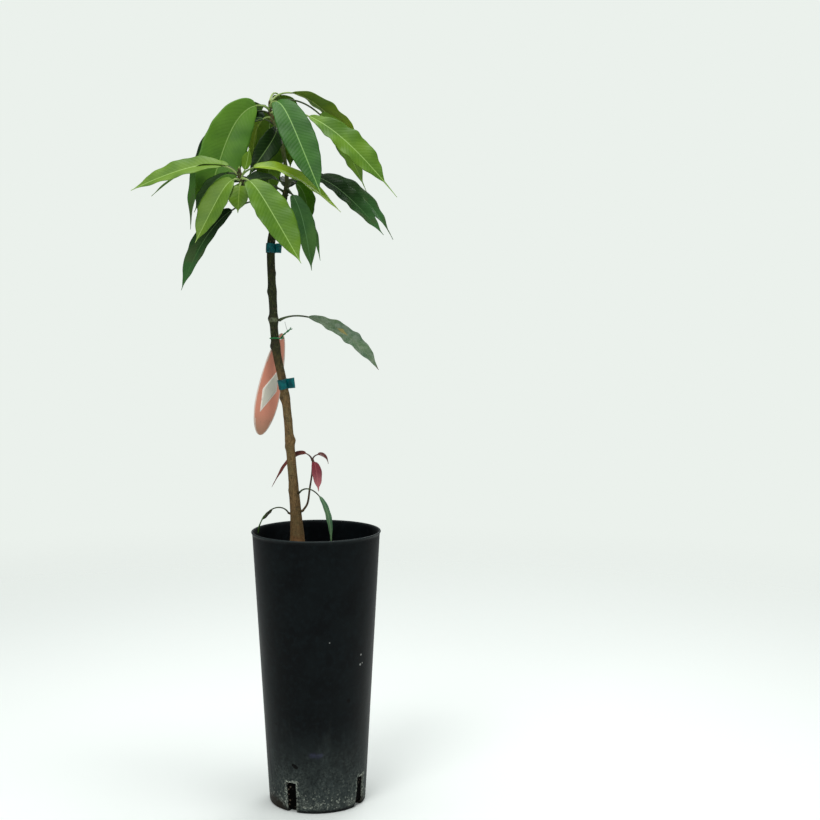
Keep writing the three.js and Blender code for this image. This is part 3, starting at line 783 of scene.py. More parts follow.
def leaf_stations(leaf, root, petiole_steps=PETIOLE_STEPS, blade_steps=BLADE_STEPS, substeps=6):
    """A leaf's places from its root to its tip, with the frame and the width at each."""
    whole = leaf.petiole + leaf.length
    share = leaf.petiole / whole
    places = [share * k / petiole_steps for k in range(petiole_steps)]
    places += [lerp(share, 1, k / blade_steps) for k in range(blade_steps + 1)]

    def direction(s):
        fallen = (1 - math.exp(-s / leaf.bend)) / (1 - math.exp(-1 / leaf.bend))
        rise = math.radians(leaf.rise - leaf.droop * fallen - leaf.sag * s * s)
        heading = heading_vector(leaf.heading + leaf.swing * s)
        return heading * math.cos(rise) + UP * math.sin(rise)

    point = root.copy()
    last = 0.0
    stations = []
    for s in places:
        for k in range(substeps):
            middle = lerp(last, s, (k + 0.5) / substeps)
            point = point + direction(middle) * ((s - last) * whole / substeps)
        last = s
        along = direction(s)
        level = along.cross(UP).normalized()
        top = level.cross(along)
        blade = clamp((s - share) / (1 - share))
        roll = math.radians(leaf.roll) * min(1, s / share)
        side = level * math.cos(roll) + top * math.sin(roll)
        outline = leaf.width / 2 * blade_shape(blade, leaf.belly)
        half = max(lerp(PETIOLE_RADIUS, 0.5, blade), outline)
        stations.append(Station(point, along, side, side.cross(along), half, blade, s * whole))
    return stations


ROW = 2.0  # between a blade's rows
HALF_COLUMNS = 10
BLADE_THICKNESS = 0.38
TIP_DRAWN = 0.4
TAIL_HALF_WIDTH = 1.1
LONG_THREAD = 9  # a longer one is dry


def add_leaf(blades, stalks, leaf, root, seed, looks):
    """One leaf: a waved blade and the stalk that goes on as its rib."""
    rows = max(10, round(leaf.length / ROW))
    stalk_rows = max(4, round(leaf.petiole / 3))
    stations = leaf_stations(leaf, root, stalk_rows, rows, 2)
    blade = stations[stalk_rows:]
    roll = dice(seed)
    phases = [2 * math.pi * next(roll) for _ in range(4)]
    wave_length = lerp(24, 34, next(roll)) * (0.6 + leaf.length / 320)
    depth = leaf.wave * leaf.width * lerp(0.035, 0.05, next(roll))
    fold = math.tan(math.radians(LEAF_FOLD))
    body = leaf.length / max(1, leaf.length - leaf.thread)

    def place(u, row):
        at = blade[row]
        t = row / rows
        filled = min(1, t * body)
        outline = leaf.width / 2 * blade_shape(filled, leaf.belly)
        sign = 1 if u > 0 else 0
        run = t * leaf.length
        beat = 2 * math.pi * run / wave_length
        wobble = 0.035 * math.sin(1.7 * beat + phases[sign]) + 0.04 * wander(run / 9, seed, sign)
        drawn = 1 - TIP_DRAWN * smooth(filled, 0.82, 1)
        tail = lerp(TAIL_HALF_WIDTH, 0.3, smooth(t, 1 / body - 0.04, 1)) if t > 0.5 else 0.5
        half = max(tail, outline * drawn * (1 + wobble * leaf.wave))
        side = abs(u)
        swell = math.sin(math.pi * filled) ** 0.6 if filled < 1 else 0
        ripple = math.sin(beat + phases[2 + sign] + 1.3 * wander(run / 40, seed))
        buckle = 0.5 * wander(run / 26, u * 1.5, seed)
        lift = half * fold * side * (1.18 - 0.3 * side * side)
        lift += depth * swell * side**1.7 * (ripple + buckle)
        return at.point + at.side * (u * half) + at.normal * lift, (run, u * half)

    grid(blades, 2 * HALF_COLUMNS, rows, place, looks.index(leaf.look))
    add_stalk(stalks, leaf, stations, stalk_rows, body, looks)


def add_stalk(stalks, leaf, stations, stalk_rows, body, looks):
    """The petiole with its swollen foot, then the rib along the blade, then the dry thread."""
    rings = []
    for at in stations:
        if at.share <= 0:
            swollen = 0.75 * bell(at.run / 7) * min(1, leaf.length / 90)
            taper = lerp(1.3, 1.05, at.run / max(1, leaf.petiole))
            radius = (taper + swollen) * clamp(leaf.width / 24, 0.75, 1)
        else:
            radius = lerp(0.68, 0.2, min(1, at.share * body)) * clamp(leaf.width / 24, 0.5, 1)
        rings.append((at.point - at.normal * 0.15, at.side, at.normal, radius))
    thread_row = next(k for k, at in enumerate(stations) if at.share * body >= 0.97)
    petiole = 0 if leaf.look in PALE_STALKS else 2 if leaf.look in RED_STALKS else 1
    rib = 4 + looks.index(leaf.look)
    tube(stalks, 8, rings[: stalk_rows + 2], petiole)
    tube(stalks, 6, rings[stalk_rows + 1 : thread_row + 1], rib)
    tube(stalks, 6, rings[thread_row:], 3 if leaf.thread > LONG_THREAD else rib)


taken = []  # balls along the limbs and along the leaves set so far


def is_clear(stations):
    for at in stations[PETIOLE_STEPS:]:
        reach = at.half_width / 2 + LEAF_CLEARANCE
        if at.point.z <= CROWN_FLOOR:
            return False
        if any((point - at.point).length <= radius + reach for point, radius in taken):
            return False
    return True


def spare_leaves(rule):
    """Leaves for the crown's far side, which stray by a seeded rule from their headings and sizes."""
    roll = dice(rule.seed)

    def within(span):
        return lerp(*span, next(roll))

    def either(reach):
        return reach * (2 * next(roll) - 1)

    def stray(size):
        return size * (1 + either(SPARE_STRAY))

    for heading, look in zip(rule.headings, rule.looks):
        # The dice are thrown in this order.
        yield Leaf(
            within(SPARE_PLACES),
            heading + either(SPARE_TURN),
            within(SPARE_RISES),
            stray(rule.droop),
            within(SPARE_BENDS),
            stray(rule.petiole),
            stray(rule.length),
            stray(rule.width),
            either(SPARE_ROLL),
            look,
        )


def foliage(name, planned, spares, root_at, node, slot, seed):
    """One mass of leaves as two pieces, its blades and its stalks."""
    kept = []
    for leaf in [*planned, *spares]:
        stations = leaf_stations(leaf, root_at(leaf.at))
        if leaf in planned or is_clear(stations):
            kept.append((leaf, stations))
    for leaf, stations in kept:
        taken.extend((at.point, at.half_width / 2) for at in stations)
    looks = sorted({leaf.look for leaf, _ in kept})
    blades, stalks = bmesh.new(), bmesh.new()
    for k, (leaf, _) in enumerate(kept):
        add_leaf(blades, stalks, leaf, root_at(leaf.at), seed + 37 * k, looks)
    skins = [blade_finishes[look][side] for side in (0, 1) for look in looks]
    piece(name + "_blades", blades, skins, [node], slot, thickness=BLADE_THICKNESS, back=len(looks))
    skins = [pale_stalk, dark_stalk, red_stalk, dry_finish, *(rib_finishes[look] for look in looks)]
    piece(name + "_stalks", stalks, skins, [node], slot)


# ---------------------------------------------------------------- the stem and its boughs

stem = Curve(STEM_POINTS)
left = Curve(LEFT_POINTS)


def stem_radius(height):
    flare = ROOT_FLARE * math.exp((SOIL_LEVEL - height) / FLARE_HEIGHT)
    rings = sum(bell((height - ring) / KNUCKLE_REACH) for ring in KNUCKLES)
    slim = smooth(height, FORK_HEIGHT, MIDDLE_TOP)
    return lerp(TRUNK_RADIUS + flare + KNUCKLE_RISE * rings, LEADER_RADIUS, slim)


# Old leaf scars and stubs: height up the stem, heading, how far each stands out, its reach.
KNOBS = [
    (632, 190, 1.6, 4),
    (630, -40, 1.2, 4),
    (597, 185, 1.5, 4),
    (530, 190, 1.7, 4.5),
    (500, -60, 0.9, 4),
    (474, -10, 1.8, 4.5),
    (466, -170, 1.2, 4),
    (667, -160, 1.1, 3.5),
    (690, -20, 0.9, 3.5),
    (575, -100, 0.8, 3.5),
    (548, 60, 1.0, 4),
    (440, -110, 0.9, 4.5),
    (410, 150, 1.1, 4.5),
    (357, -60, 1.3, 5),
]
NODE_RINGS = [780, 786, 793, 800, 806, 826, 846, 866, 876, 881, 886, 891, 896, 901]
BOUGH_RINGS = [778, 790, 799, 803, 807, 811]


def bark_relief(height, angle):
    """How far the bark stands out of the stem's plain round."""
    turn = Vector((math.cos(angle), math.sin(angle), 0))
    ridges = wander(3.2 * turn.x, 3.2 * turn.y, height / 26)
    fine = wander(7 * turn.x, 7 * turn.y, height / 7)
    old = 1 - smooth(height, 560, 760)
    relief = (0.42 * ridges + 0.22 * fine) * lerp(0.35, 1, old)
    for at, heading, rise, reach in KNOBS:
        up = (height - at) / reach
        if abs(up) < 2.5:
            gap = angle - math.radians(heading)
            gap = math.atan2(math.sin(gap), math.cos(gap))
            off = gap * stem_radius(height) / reach
            relief += rise * math.exp(-up * up - off * off)
    for ring in NODE_RINGS:
        up = (height - ring) / 1.5
        if abs(up) < 3:
            relief += 0.28 * bell(up)
    return relief


def limb(bm, curve, radius_at, low, high, step=1.5, sides=40, relief=None):
    """A limb between two heights of a rising curve, in rings about a step apart."""
    start, end = curve.place_at(low), curve.place_at(high)
    count = max(6, round((high - low) / step))
    rings = []
    for k in range(count + 1):
        t = lerp(start, end, k / count)
        point = curve.point(t)
        rings.append((point, *across(curve.along(t)), radius_at(t, point.z)))

    def shape(row, angle):
        point, _, _, radius = rings[clamp(row - 1, 0, count)]
        return 1 + (relief(point.z, angle) / radius if relief else 0)

    tube(bm, sides, rings, 0, shape)


def trunk_relief(height, angle):
    lobes = math.cos(ROOT_LOBES * angle) * math.exp((SOIL_LEVEL - height) / ROOT_LOBE_HEIGHT)
    roots = ROOT_LOBE_DEPTH * lobes * stem_radius(height)
    return roots + bark_relief(height, angle)


def leader_radius(t, height):
    if height > TOP_FOOT:
        share = (height - TOP_FOOT) / (STEM_POINTS[-1][2] - TOP_FOOT)
        return lerp(stem_radius(TOP_FOOT), BUD_RADIUS, share)
    return stem_radius(height)


def add_scale(bm, root, direction, length, width, material=0):
    """A small pointed bud scale or stub."""
    side, normal = across(direction)
    rings = [
        (root + direction * (length * t) + side * (0.12 * length * t * t), side, normal, width * r)
        for t, r in [(0, 0.7), (0.25, 1), (0.55, 0.85), (0.8, 0.5), (1, 0.12)]
    ]
    tube(bm, 7, rings, material)


def add_buds(bm, curve, radius_at, low, high, count, seed, size):
    """Scales and stubs in a spiral round a stem's end, ending in the bud itself. A few are pale."""
    roll = dice(seed)
    for k in range(count):
        share = k / (count - 1)
        height = lerp(low, high, share)
        t = curve.place_at(height)
        along = curve.along(t)
        side, normal = across(along)
        turn = 2.4 * k + 0.5 * next(roll)
        out = side * math.cos(turn) + normal * math.sin(turn)
        root = curve.point(t) + out * radius_at(t, height) * 0.6
        direction = (out * lerp(0.9, 0.12, share) + along).normalized()
        length = size * lerp(0.7, 1.3, next(roll)) * lerp(1, 0.7, share)
        skin = 2 if share > 0.7 and k % 3 == 0 else 1
        add_scale(bm, root, direction, length, size * lerp(0.16, 0.24, next(roll)), skin)


def stem_bark():
    bm = bmesh.new()
    limb(bm, stem, leader_radius, SOIL_LEVEL + GAP, STEM_POINTS[-1][2], relief=trunk_relief)
    low, high = LEFT_POINTS[0][2], LEFT_POINTS[-1][2]

    def left_radius(t, height):
        return lerp(*LEFT_RADII, t)

    def bough_radius(t, height):
        return left_radius(t, height) + 0.9 * math.exp(-(height - low) / 3)

    def bough_relief(height, angle):
        rings = sum(bell((height - ring) / 1.2) for ring in BOUGH_RINGS)
        return 0.25 * rings + 0.14 * wander(3 * math.cos(angle), 3 * math.sin(angle), height / 6)

    limb(bm, left, bough_radius, low, high, 0.8, 24, bough_relief)
    add_buds(bm, stem, leader_radius, *TOP_BUDS)
    add_buds(bm, stem, leader_radius, *FORK_BUDS)
    add_buds(bm, left, left_radius, *LEFT_BUDS)
    skins = [bark_finish(), scale_finish, pale_stalk]
    piece("stem_bark", bm, skins, ["trunk", "bough_top", "bough_left"], "bark")


def crown():
    """The three masses: their leaves, the limb and heights they grow between, the slot and the seed."""
    masses = {
        "top": (TOP_LEAVES, TOP_SPARE, stem, TOP_FOOT, STEM_POINTS[-1][2], "leaf_green", 1201),
        "left": (LEFT_LEAVES, LEFT_SPARE, left, LEFT_FOOT, LEFT_POINTS[-1][2], "leaf_light", 2203),
        "middle": (MIDDLE_LEAVES, MIDDLE_SPARE, stem, TRUNK_TOP, MIDDLE_TOP, "leaf_dark", 3203),
    }
    for name, (planned, rule, curve, low, high, slot, seed) in masses.items():

        def root_at(at, curve=curve, low=low, high=high):
            return curve.at(lerp(low + ROOT_MARGIN, high - ROOT_MARGIN, at))

        foliage(name, planned, list(spare_leaves(rule)), root_at, "foliage_" + name, slot, seed)


stem_bark()
for height in range(SOIL_LEVEL, TOP_FOOT, 8):
    taken.append((stem.at(height), stem_radius(height)))
for k in range(13):
    taken.append((left.point(k / 12), LEFT_RADII[0]))
crown()


def side_root(leaf):
    """Where a leaf leaves the trunk's own side."""
    away = stem_radius(leaf.at) + SEAT + PETIOLE_RADIUS * math.sin(math.radians(leaf.rise))
    return stem.at(leaf.at) + heading_vector(leaf.heading) * away


def foot_scale(name, height, heading, lean, length, width, node, slot):
    """The small scale under a leaf or a shoot that leaves the trunk's side."""
    out = heading_vector(heading)
    root = stem.at(height) + out * (stem_radius(height) - 1.5)
    bm = bmesh.new()
    add_scale(bm, root, (out + UP * lean).normalized(), length, width)
    piece(name, bm, [scale_finish], [node], slot)


def side_leaf(name, leaf, slot, seed):
    root = side_root(leaf)
    foliage(name, [leaf], [], lambda at: root, name, slot, seed)
    foot_scale(name + "_foot", leaf.at, leaf.heading, 0.25, 5.5, 1.7, name, slot)


def dry_curl(leaf, begin, end, half):
    """The dead part of a leaf that hangs beside its stalk, dark along both edges."""
    stations = [at for at in leaf_stations(leaf, side_root(leaf), 24, 24, 2) if begin <= at.run <= end]
    rows = len(stations) - 1

    def place(u, row):
        at = stations[row]
        t = row / rows
        wide = half * math.sin(math.pi * lerp(0.06, 0.94, t)) ** 0.7
        reach = wide * (1 + u + 0.25 * math.sin(9 * t))
        depth = 1.1 * (1 - u * u) * math.sin(math.pi * t)
        return at.point - at.normal * reach + at.side * (depth + 1.3), (at.run, u * wide)

    bm = bmesh.new()
    grid(bm, 6, rows, place)
    skins = [dry_blade_finish()]
    piece("low_leaf_left_curl", bm, skins, ["low_leaf_left"], "leaf_dark", thickness=BLADE_THICKNESS)


def red_shoot():
    away = stem_radius(SHOOT_HEIGHT) + SHOOT_RADII[0]
    root = stem.at(SHOOT_HEIGHT) + heading_vector(SHOOT_HEADING) * away
    shoot = Curve([Vector(point) + root for point in SHOOT_POINTS])
    foliage("shoot", SHOOT_LEAVES, [], shoot.point, "red_shoot", "leaf_red", 5201)
    bm = bmesh.new()
    low, high = shoot.point(0).z, shoot.point(1).z
    limb(bm, shoot, lambda t, height: lerp(*SHOOT_RADII, t), low, high, 1.5, 12)
    young = stalk_finish("shoot_stem", paint(84, 64, 42), paint(58, 42, 30))
    piece("shoot_stem", bm, [young], ["red_shoot"], "leaf_red")
    foot_scale("shoot_foot", SHOOT_HEIGHT, SHOOT_HEADING, 0.35, 6, 2.2, "red_shoot", "leaf_red")


side_leaf("trunk_leaf", TRUNK_LEAF, "leaf_dusty", 4207)
side_leaf("low_leaf_right", LOW_RIGHT, "leaf_green", 4211)
side_leaf("low_leaf_left", LOW_LEFT, "leaf_dark", 4217)
dry_curl(LOW_LEFT, 25, 46, 2.1)
red_shoot()

# ---------------------------------------------------------------- pot and mix


def wall_radius(height):
    return lerp(FOOT_RADIUS, RIM_RADIUS - LIP_PROUD, height / POT_HEIGHT)


def on_wall(heights, inset=0.0):
    """Outline points on the pot's wall, or set in from it, at some heights."""
    return [(wall_radius(height) - inset, height) for height in heights]


def spun(bm, outline, steps, start):
    """A closed turned body from an outline of radius and height, with its first side at a heading."""
    turn = heading_vector(start)
    verts = [bm.verts.new(turn * radius + UP * height) for radius, height in outline]
    edges = [bm.edges.new(pair) for pair in zip(verts, verts[1:])]
    bmesh.ops.spin(
        bm, geom=verts + edges, axis=UP, cent=(0, 0, 0), angle=2 * math.pi, steps=steps, use_merge=True
    )
    bmesh.ops.remove_doubles(bm, verts=bm.verts, dist=1e-4)


def arc(centre, radius, start, end, steps):
    """Points of radius and height on an arc between two angles in degrees."""
    angles = [math.radians(lerp(start, end, k / steps)) for k in range(steps + 1)]
    return [(centre[0] + radius * math.cos(a), centre[1] + radius * math.sin(a)) for a in angles]


def from_slot(place, heading):
    """How far a place is turned from a slot's middle, in degrees."""
    angle = math.degrees(math.atan2(place.y, place.x)) - heading
    return (angle + 180) % 360 - 180


CHIP_TOP = 20
CHIP_REACH = 8  # degrees
CHIP_TURN = 3.4  # degrees


def pot():
    bm = bmesh.new()
    inner = SLOT_FLOOR_RADIUS
    r = FOOT_ROUNDING
    low_wall = [10, 18, 26, 34, SLOT_HEIGHT]
    bead = LIP_HEIGHT / 2
    outline = [(0, 0), (20, 0), (40, 0), (inner, 0), (57, 0)]
    outline += arc((FOOT_RADIUS - r, r), r, -90, 0, 4)
    outline += on_wall([*low_wall, *range(60, 350, 15), 352, 354.2])
    outline += arc((RIM_RADIUS - bead, POT_HEIGHT - bead), bead, -50, 160, 10)
    outline += on_wall([352, 346, 335, 322, 310, *range(295, 60, -25), *reversed(low_wall)], POT_WALL)
    outline += arc((FOOT_RADIUS - POT_WALL - r, POT_FLOOR + r), r, 0, -90, 4)
    outline += [(radius, POT_FLOOR) for radius in (56, inner, 40, 20, 0)]
    spun(bm, outline, POT_SIDES, FIRST_SLOT_HEADING + SLOT_HALF_TURN)
    for k in range(SLOT_COUNT):
        heading = FIRST_SLOT_HEADING + 360 / SLOT_COUNT * k
        gone = []
        for face in bm.faces:
            middle = face.calc_center_median()
            out = math.hypot(middle.x, middle.y)
            if abs(from_slot(middle, heading)) < SLOT_HALF_TURN and middle.z < SLOT_HEIGHT and out > inner:
                gone.append(face)
        bmesh.ops.delete(bm, geom=gone, context="FACES")
        rim = [edge for edge in bm.edges if edge.is_boundary]
        bmesh.ops.bridge_loops(bm, edges=rim)
    for vert in bm.verts:
        off = from_slot(vert.co, CHIPPED_SLOT_HEADING) + SLOT_HALF_TURN
        out = math.hypot(vert.co.x, vert.co.y)
        if -CHIP_REACH < off < 0.1 and vert.co.z < CHIP_TOP and out > inner + 1:
            turn = -CHIP_TURN * (1 - vert.co.z / CHIP_TOP) * (1 - abs(off) / CHIP_REACH)
            vert.co.rotate(Matrix.Rotation(math.radians(turn), 3, "Z"))
    piece("pot_shell", bm, [pot_finish()], ["pot"], "pot_plastic", crease=50)


GRAINS = 260
GRAIN_SEED = 60013
GRAIN_RADII = (1.0, 3.4)
GRAIN_SHAPE = (1, 0.9, 0.8)
CHIP_SHAPE = (1.3, 0.8, 0.45)
CHIP_SHARE = 0.72  # the rest of the grains are white
CLEAR_OF_STEM = 15
MIX_SIDES = 96


def soil_dip(out):
    return SOIL_DIP * smooth(out, SOIL_FLAT_RADIUS, SOIL_FLAT_RADIUS + 16)


def potting_mix():
    bm = bmesh.new()
    foot = POT_FLOOR + GAP
    shoulder = SOIL_LEVEL - SOIL_DIP
    away = POT_WALL + GAP
    outline = [(0, foot), (25, foot), (wall_radius(0) - away - FOOT_ROUNDING, foot)]
    outline += on_wall([8, 15, 22, 29, 36, 43, 55, 100, 150, 200, 250, 290, shoulder], away)
    outline += [(radius, SOIL_LEVEL) for radius in range(SOIL_FLAT_RADIUS + 12, -1, -3)]
    spun(bm, outline, MIX_SIDES, 0)
    for vert in bm.verts:
        x, y, z = vert.co
        if z > shoulder + 1:
            rough = 1.1 * wander(x / 9, y / 9) + 0.6 * wander(x / 3.5, y / 3.5, 5)
            vert.co.z += rough - 0.6 - soil_dip(math.hypot(x, y))
    stem_foot = Vector((STEM_POINTS[0][0], STEM_POINTS[0][1], 0))
    roll = dice(GRAIN_SEED)
    for k in range(GRAINS):
        out = SOIL_FLAT_RADIUS * 1.17 * math.sqrt(next(roll))
        spot = heading_vector(360 * next(roll)) * out
        if (spot - stem_foot).length < CLEAR_OF_STEM:
            continue
        is_chip = next(roll) < CHIP_SHARE
        size = lerp(*GRAIN_RADII, next(roll) ** 2)
        made = bmesh.ops.create_icosphere(bm, subdivisions=1, radius=size)["verts"]
        bmesh.ops.scale(bm, vec=CHIP_SHAPE if is_chip else GRAIN_SHAPE, verts=made)
        for vert in made:
            vert.co *= 1 + 0.25 * wander(vert.co.x + 9 * k, vert.co.y, vert.co.z)
        tilt = Matrix.Rotation(0.9 * (next(roll) - 0.5), 3, "X")
        turn = Matrix.Rotation(6.28 * next(roll), 3, "Z")
        bmesh.ops.rotate(bm, cent=(0, 0, 0), matrix=tilt @ turn, verts=made)
        rise = SOIL_LEVEL - soil_dip(out) + 0.25 * size - 0.4
        bmesh.ops.translate(bm, vec=spot + UP * rise, verts=made)
        for face in {face for vert in made for face in vert.link_faces}:
            face.material_index = 1 if is_chip else 2
    bark_chip = chip_finish("bark_chip", paint(104, 74, 48), paint(52, 36, 26))
    white_grain = chip_finish("white_grain", paint(206, 200, 186), paint(150, 140, 122))
    piece("mix_body", bm, [mix_finish(), bark_chip, white_grain], ["potting_mix"], "potting_mix", crease=40)


pot()
potting_mix()

# ---------------------------------------------------------------- ties and tag

TIE_TURNS = 1.12
TIE_COLUMNS = 84
TIE_TAIL_COLUMNS = 12
TAPE_THICKNESS = 0.35


def tie(name, seed, ribbon):
    """A tape wrapped a little over once round the trunk, with its end standing off."""
    low, high = TIE_HEIGHTS[name]
    heading, reach = TIE_TAILS[name]
    t = stem.place_at((low + high) / 2)
    centre, along = stem.point(t), stem.along(t)
    side, normal = across(along)
    inner = max(stem_radius(low), stem_radius(high)) + SEAT
    start = math.atan2(heading_vector(heading).dot(normal), heading_vector(heading).dot(side))

    def place(u, row):
        share = min(1, row / TIE_COLUMNS)
        angle = start - 2 * math.pi * TIE_TURNS * (1 - share)
        beyond = max(0, row - TIE_COLUMNS) / TIE_TAIL_COLUMNS
        crease = 0.22 * wander(4 * share * 3, u * 2, seed) + 0.12 * wander(share * 24, u * 4, seed)
        radius = inner + 0.35 + 0.45 * share + crease
        pinch = 1 - 0.06 * wander(share * 5, seed) - 0.16 * beyond
        rise = u * (high - low) / 2 * pinch + 0.7 * wander(share * 4, seed, 3) * (1 - share)
        out = side * math.cos(angle) + normal * math.sin(angle)
        round_way = normal * math.cos(angle) - side * math.sin(angle)
        spot = centre + out * radius + along * rise
        if beyond:
            spot += out * (beyond * reach) + round_way * (1.2 * math.sin(3 * beyond + u) * beyond)
            spot += along * (1.2 * beyond * u)
        return spot, (row, u)

    bm = bmesh.new()
    grid(bm, 10, TIE_COLUMNS + TIE_TAIL_COLUMNS, place)
    piece(name + "_tape", bm, [ribbon], [name], "tie_teal", thickness=TAPE_THICKNESS)


def strand(bm, points, radius, sides, steps, material=0):
    curve = Curve(points)
    rings = []
    side = None
    for k in range(steps + 1):
        t = k / steps
        along = curve.along(t)
        side = (side - along * side.dot(along)).normalized() if side else along.orthogonal().normalized()
        rings.append((curve.point(t), side, side.cross(along), radius))
    tube(bm, sides, rings, material)


LOOP_STEPS = 60
TWIST_STEPS = 30
TWIST_RADIUS = 0.62
WHISKER = [(0, 0, 0), (-1.5, 0, 3), (-3, 0.5, 8), (-4, 1, 12)]
WHISKER_RADIUS = 0.28


def label_tie():
    """A coated wire round the trunk and through the tag, its ends twisted together."""
    hole = Vector(TAG_HANG)
    to_hole = hole - stem.at(hole.z)
    to_hole.z = 0
    behind = stem_radius(hole.z) + SEAT + LABEL_TIE_RADIUS
    long = (to_hole.length + behind) / 2
    short = LABEL_TIE_HALF_WIDTH
    to_hole.normalize()
    centre = hole - to_hole * long
    beside = UP.cross(to_hole)
    loop = []
    for k in range(LOOP_STEPS + 1):
        turn = 2 * math.pi * k / LOOP_STEPS
        sway = UP * (0.5 * math.sin(2 * turn + 1))
        loop.append(centre + to_hole * (long * math.cos(turn)) + beside * (short * math.sin(turn)) + sway)
    bm = bmesh.new()
    strand(bm, loop, LABEL_TIE_RADIUS, 8, 120)
    foot = centre - beside * short
    tail = Curve([Vector(point) + foot for point in LABEL_TIE_TAIL])
    for phase in (0, math.pi):
        twisted = []
        for k in range(TWIST_STEPS + 1):
            t = k / TWIST_STEPS
            side, normal = across(tail.along(t))
            turn = phase + 5 * math.pi * t
            wide = TWIST_RADIUS + 0.5 * smooth(t, 0.8, 1)
            twisted.append(tail.point(t) + side * (wide * math.cos(turn)) + normal * (wide * math.sin(turn)))
        strand(bm, twisted, TWIST_RADIUS, 7, 70)
    strand(bm, [tail.point(0.8) + Vector(point) for point in WHISKER], WHISKER_RADIUS, 6, 14, 1)
    green = wire_finish("wire_green", paint(8, 112, 54), 0.42)
    steel = wire_finish("wire_end", paint(150, 152, 150), 0.35, 0.8)
    piece("label_wire", bm, [green, steel], ["label_tie"], "tie_green")


def bezier(points, t):
    s = 1 - t
    return [s**3 * a + 3 * s * s * t * b + 3 * s * t * t * c + t**3 * d for a, b, c, d in zip(*points)]


def tag_half_width(height):
    """The tag's half width at a height above its foot."""
    half, tall = TAG_WIDTH / 2, TAG_HEIGHT
    lower = [(0, 0), (half * 0.52, 0), (half, tall * 0.17), (half, tall * 0.36)]
    upper = [(half, tall * 0.36), (half, tall * 0.64), (half * 0.5, tall), (0, tall)]
    shape = lower if height < tall * 0.36 else upper
    return bezier(shape, where(lambda t: bezier(shape, t)[1], height))[0]


def tag_frame():
    def turned(degrees, axis):
        return Matrix.Rotation(math.radians(degrees), 4, axis)

    drop = TAG_HOLE_RADIUS - LABEL_TIE_RADIUS - GAP
    shift = Matrix.Translation((0, TAG_HOLE_DOWN - TAG_HEIGHT - drop, 0))
    stand = turned(TAG_LEAN, "Y") @ turned(-TAG_TILT, "X") @ turned(TAG_TURN, "Z") @ turned(90, "X")
    return Matrix.Translation(TAG_HANG) @ stand @ shift


CARD_THICKNESS = 0.7
CARD_BORDER = 1.3
CARD_ROWS = 90
PANEL_THICKNESS = 0.12
PANEL_HALF_HEIGHT = 30
PANEL_HALF_WIDTH = 12
PANEL_SLANT = 8.5
PANEL_MIDDLE = TAG_HEIGHT * 0.44
PANEL_ROWS = 24


def tag():
    """A leaf-shaped card, a little bowed, with a pale edge and a bare diamond panel."""
    frame_of_tag = tag_frame()

    def on_card(x, height, proud=0.0):
        bow = 0.35 * math.sin(height / 21) - 0.5 * (2 * x / TAG_WIDTH) ** 2
        bow += 0.25 * wander(x / 9, height / 14)
        return frame_of_tag @ Vector((x, height, bow + proud))

    def card_place(u, row):
        height = TAG_HEIGHT * (0.5 - 0.5 * math.cos(math.pi * row / CARD_ROWS))
        half = max(0.05, tag_half_width(height))
        return on_card(u * half, height), (u * half, height)

    bm = bmesh.new()
    grid(bm, 24, CARD_ROWS, card_place)
    hole = Vector((0, TAG_HEIGHT - TAG_HOLE_DOWN))
    layer = bm.loops.layers.uv.active
    gone = []
    for face in bm.faces:
        spots = [loop[layer].uv for loop in face.loops]
        if all((spot - hole).length < TAG_HOLE_RADIUS for spot in spots):
            gone.append(face)
        inner = [tag_half_width(clamp(spot.y, 0.1, TAG_HEIGHT - 0.1)) - CARD_BORDER for spot in spots]
        if any(abs(spot.x) > border for spot, border in zip(spots, inner)):
            face.material_index = 1
    bmesh.ops.delete(bm, geom=gone, context="FACES")
    edge = card_finish("tag_edge", paint(232, 206, 190), paint(206, 184, 168))
    card = card_finish("tag_salmon", paint(232, 152, 126), paint(166, 134, 108))
    piece("tag_card", bm, [card, edge], ["label_tag"], "tag_salmon", thickness=CARD_THICKNESS)
    bm = bmesh.new()
    for material, shrink, proud in ((0, 1.0, 0.42), (1, 0.86, 0.5)):
        for face_side in (1, -1):

            def place(u, row, shrink=shrink, proud=proud * face_side):
                height = lerp(-1, 1, row / PANEL_ROWS)
                half = PANEL_HALF_WIDTH * shrink * (1 - abs(height)) + 0.05
                x = u * half + PANEL_SLANT * height * shrink
                return on_card(x, PANEL_MIDDLE + height * PANEL_HALF_HEIGHT * shrink, proud), (u, row)

            grid(bm, 8, PANEL_ROWS, place, material)
    border = card_finish("panel_border", paint(250, 242, 230), paint(228, 218, 204))
    panel = card_finish("panel_pale", paint(226, 222, 206), paint(212, 204, 184))
    piece("tag_panel", bm, [border, panel], ["label_tag"], "tag_salmon", thickness=PANEL_THICKNESS)


ribbon = ribbon_finish()
tie("tie_upper", 3.1, ribbon)
tie("tie_lower", 7.7, ribbon)
label_tie()
tag()

# ---------------------------------------------------------------- floor, light and camera

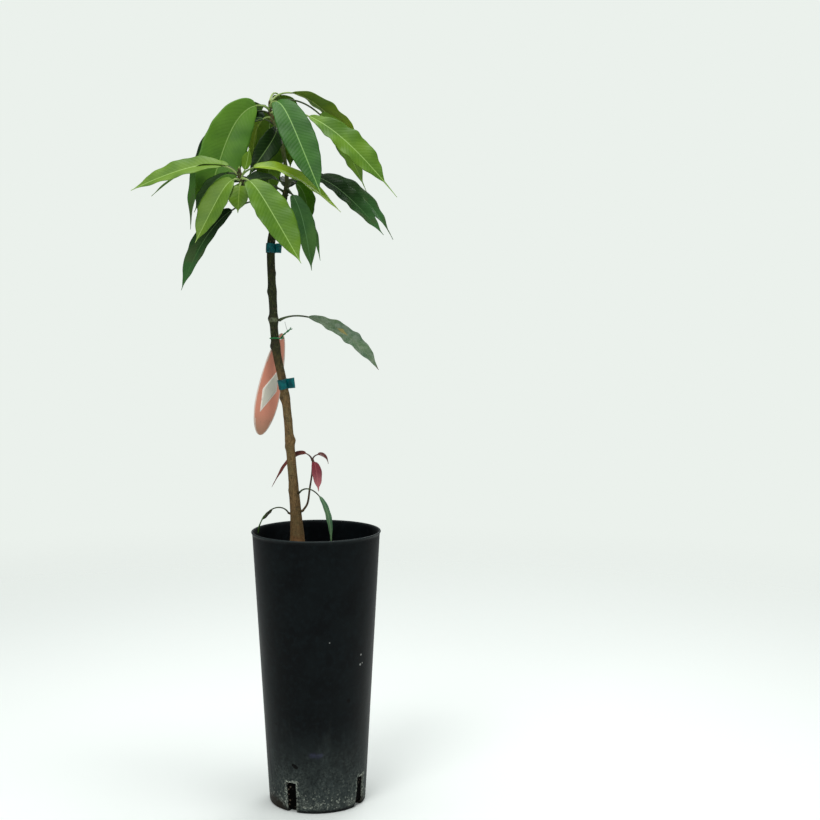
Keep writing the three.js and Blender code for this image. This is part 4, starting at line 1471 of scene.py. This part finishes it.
FLOOR_RADIUS = 4.0
FLOOR_FADE = (2.2, 0.45)
LIGHTS = {
    # place, target, size, power
    "key": ((-0.8, -1.9, 2.1), (-0.03, 0, 0.6), 1.4, 29),
    "fill": ((1.9, -1.0, 1.3), (0, 0, 0.5), 1.6, 10),
    "back": ((0.6, 1.8, 2.0), (0, 0, 0.7), 1.4, 16),
    "overhead": ((0, 0, 2.6), (0, 0, 0.5), 1.4, 34),
}
FOCAL_PIXELS = 1516
PICTURE_PIXELS = 820
SENSOR_WIDTH = 36
CAMERA_PLACE = (0.122, -1.948, 0.696)
CAMERA_PITCH = 5.33  # degrees downwards


def floor():
    bm = bmesh.new()
    bmesh.ops.create_circle(bm, cap_ends=True, segments=96, radius=FLOOR_RADIUS)
    made = placed("floor", mesh_from("floor", bm))
    finish = Finish("floor_pale")
    x, y, _ = finish.parts(finish.place())
    away = (x * x + y * y).maths("SQRT", x * x + y * y)
    made.data.materials.append(
        finish.surface(paint(246, 251, 247), 0.9, specular=0.1, Alpha=away.over(*FLOOR_FADE))
    )


def soft_light(name, place, target, size, power):
    data = bpy.data.lights.new(name, "AREA")
    data.shape = "DISK"
    data.size = size
    data.energy = power
    made = placed(name, data)
    made.location = place
    made.rotation_euler = (Vector(target) - Vector(place)).to_track_quat("-Z", "Y").to_euler()


def studio():
    """A pale backdrop, which lights the plant less than it shows, and four soft lights."""
    world = bpy.data.worlds.new("studio")
    world.use_nodes = True
    nodes, links = world.node_tree.nodes, world.node_tree.links
    seen = nodes["Background"]
    seen.inputs[0].default_value = paint(235, 241, 236)
    seen.inputs[1].default_value = 1.0
    lit = nodes.new("ShaderNodeBackground")
    lit.inputs[0].default_value = paint(232, 238, 240)
    lit.inputs[1].default_value = 0.3
    path = nodes.new("ShaderNodeLightPath")
    either = nodes.new("ShaderNodeMixShader")
    links.new(path.outputs["Is Camera Ray"], either.inputs[0])
    links.new(lit.outputs[0], either.inputs[1])
    links.new(seen.outputs[0], either.inputs[2])
    links.new(either.outputs[0], nodes["World Output"].inputs[0])
    bpy.context.scene.world = world
    for name, light in LIGHTS.items():
        soft_light(name, *light)


def camera():
    data = bpy.data.cameras.new("camera")
    data.lens = FOCAL_PIXELS / PICTURE_PIXELS * SENSOR_WIDTH
    data.sensor_width = SENSOR_WIDTH
    data.clip_end = 50
    made = placed("camera", data)
    made.location = CAMERA_PLACE
    made.rotation_euler = (math.radians(90 - CAMERA_PITCH), 0, 0)
    bpy.context.scene.camera = made


floor()
studio()
camera()
bpy.context.scene.view_settings.view_transform = "Standard"
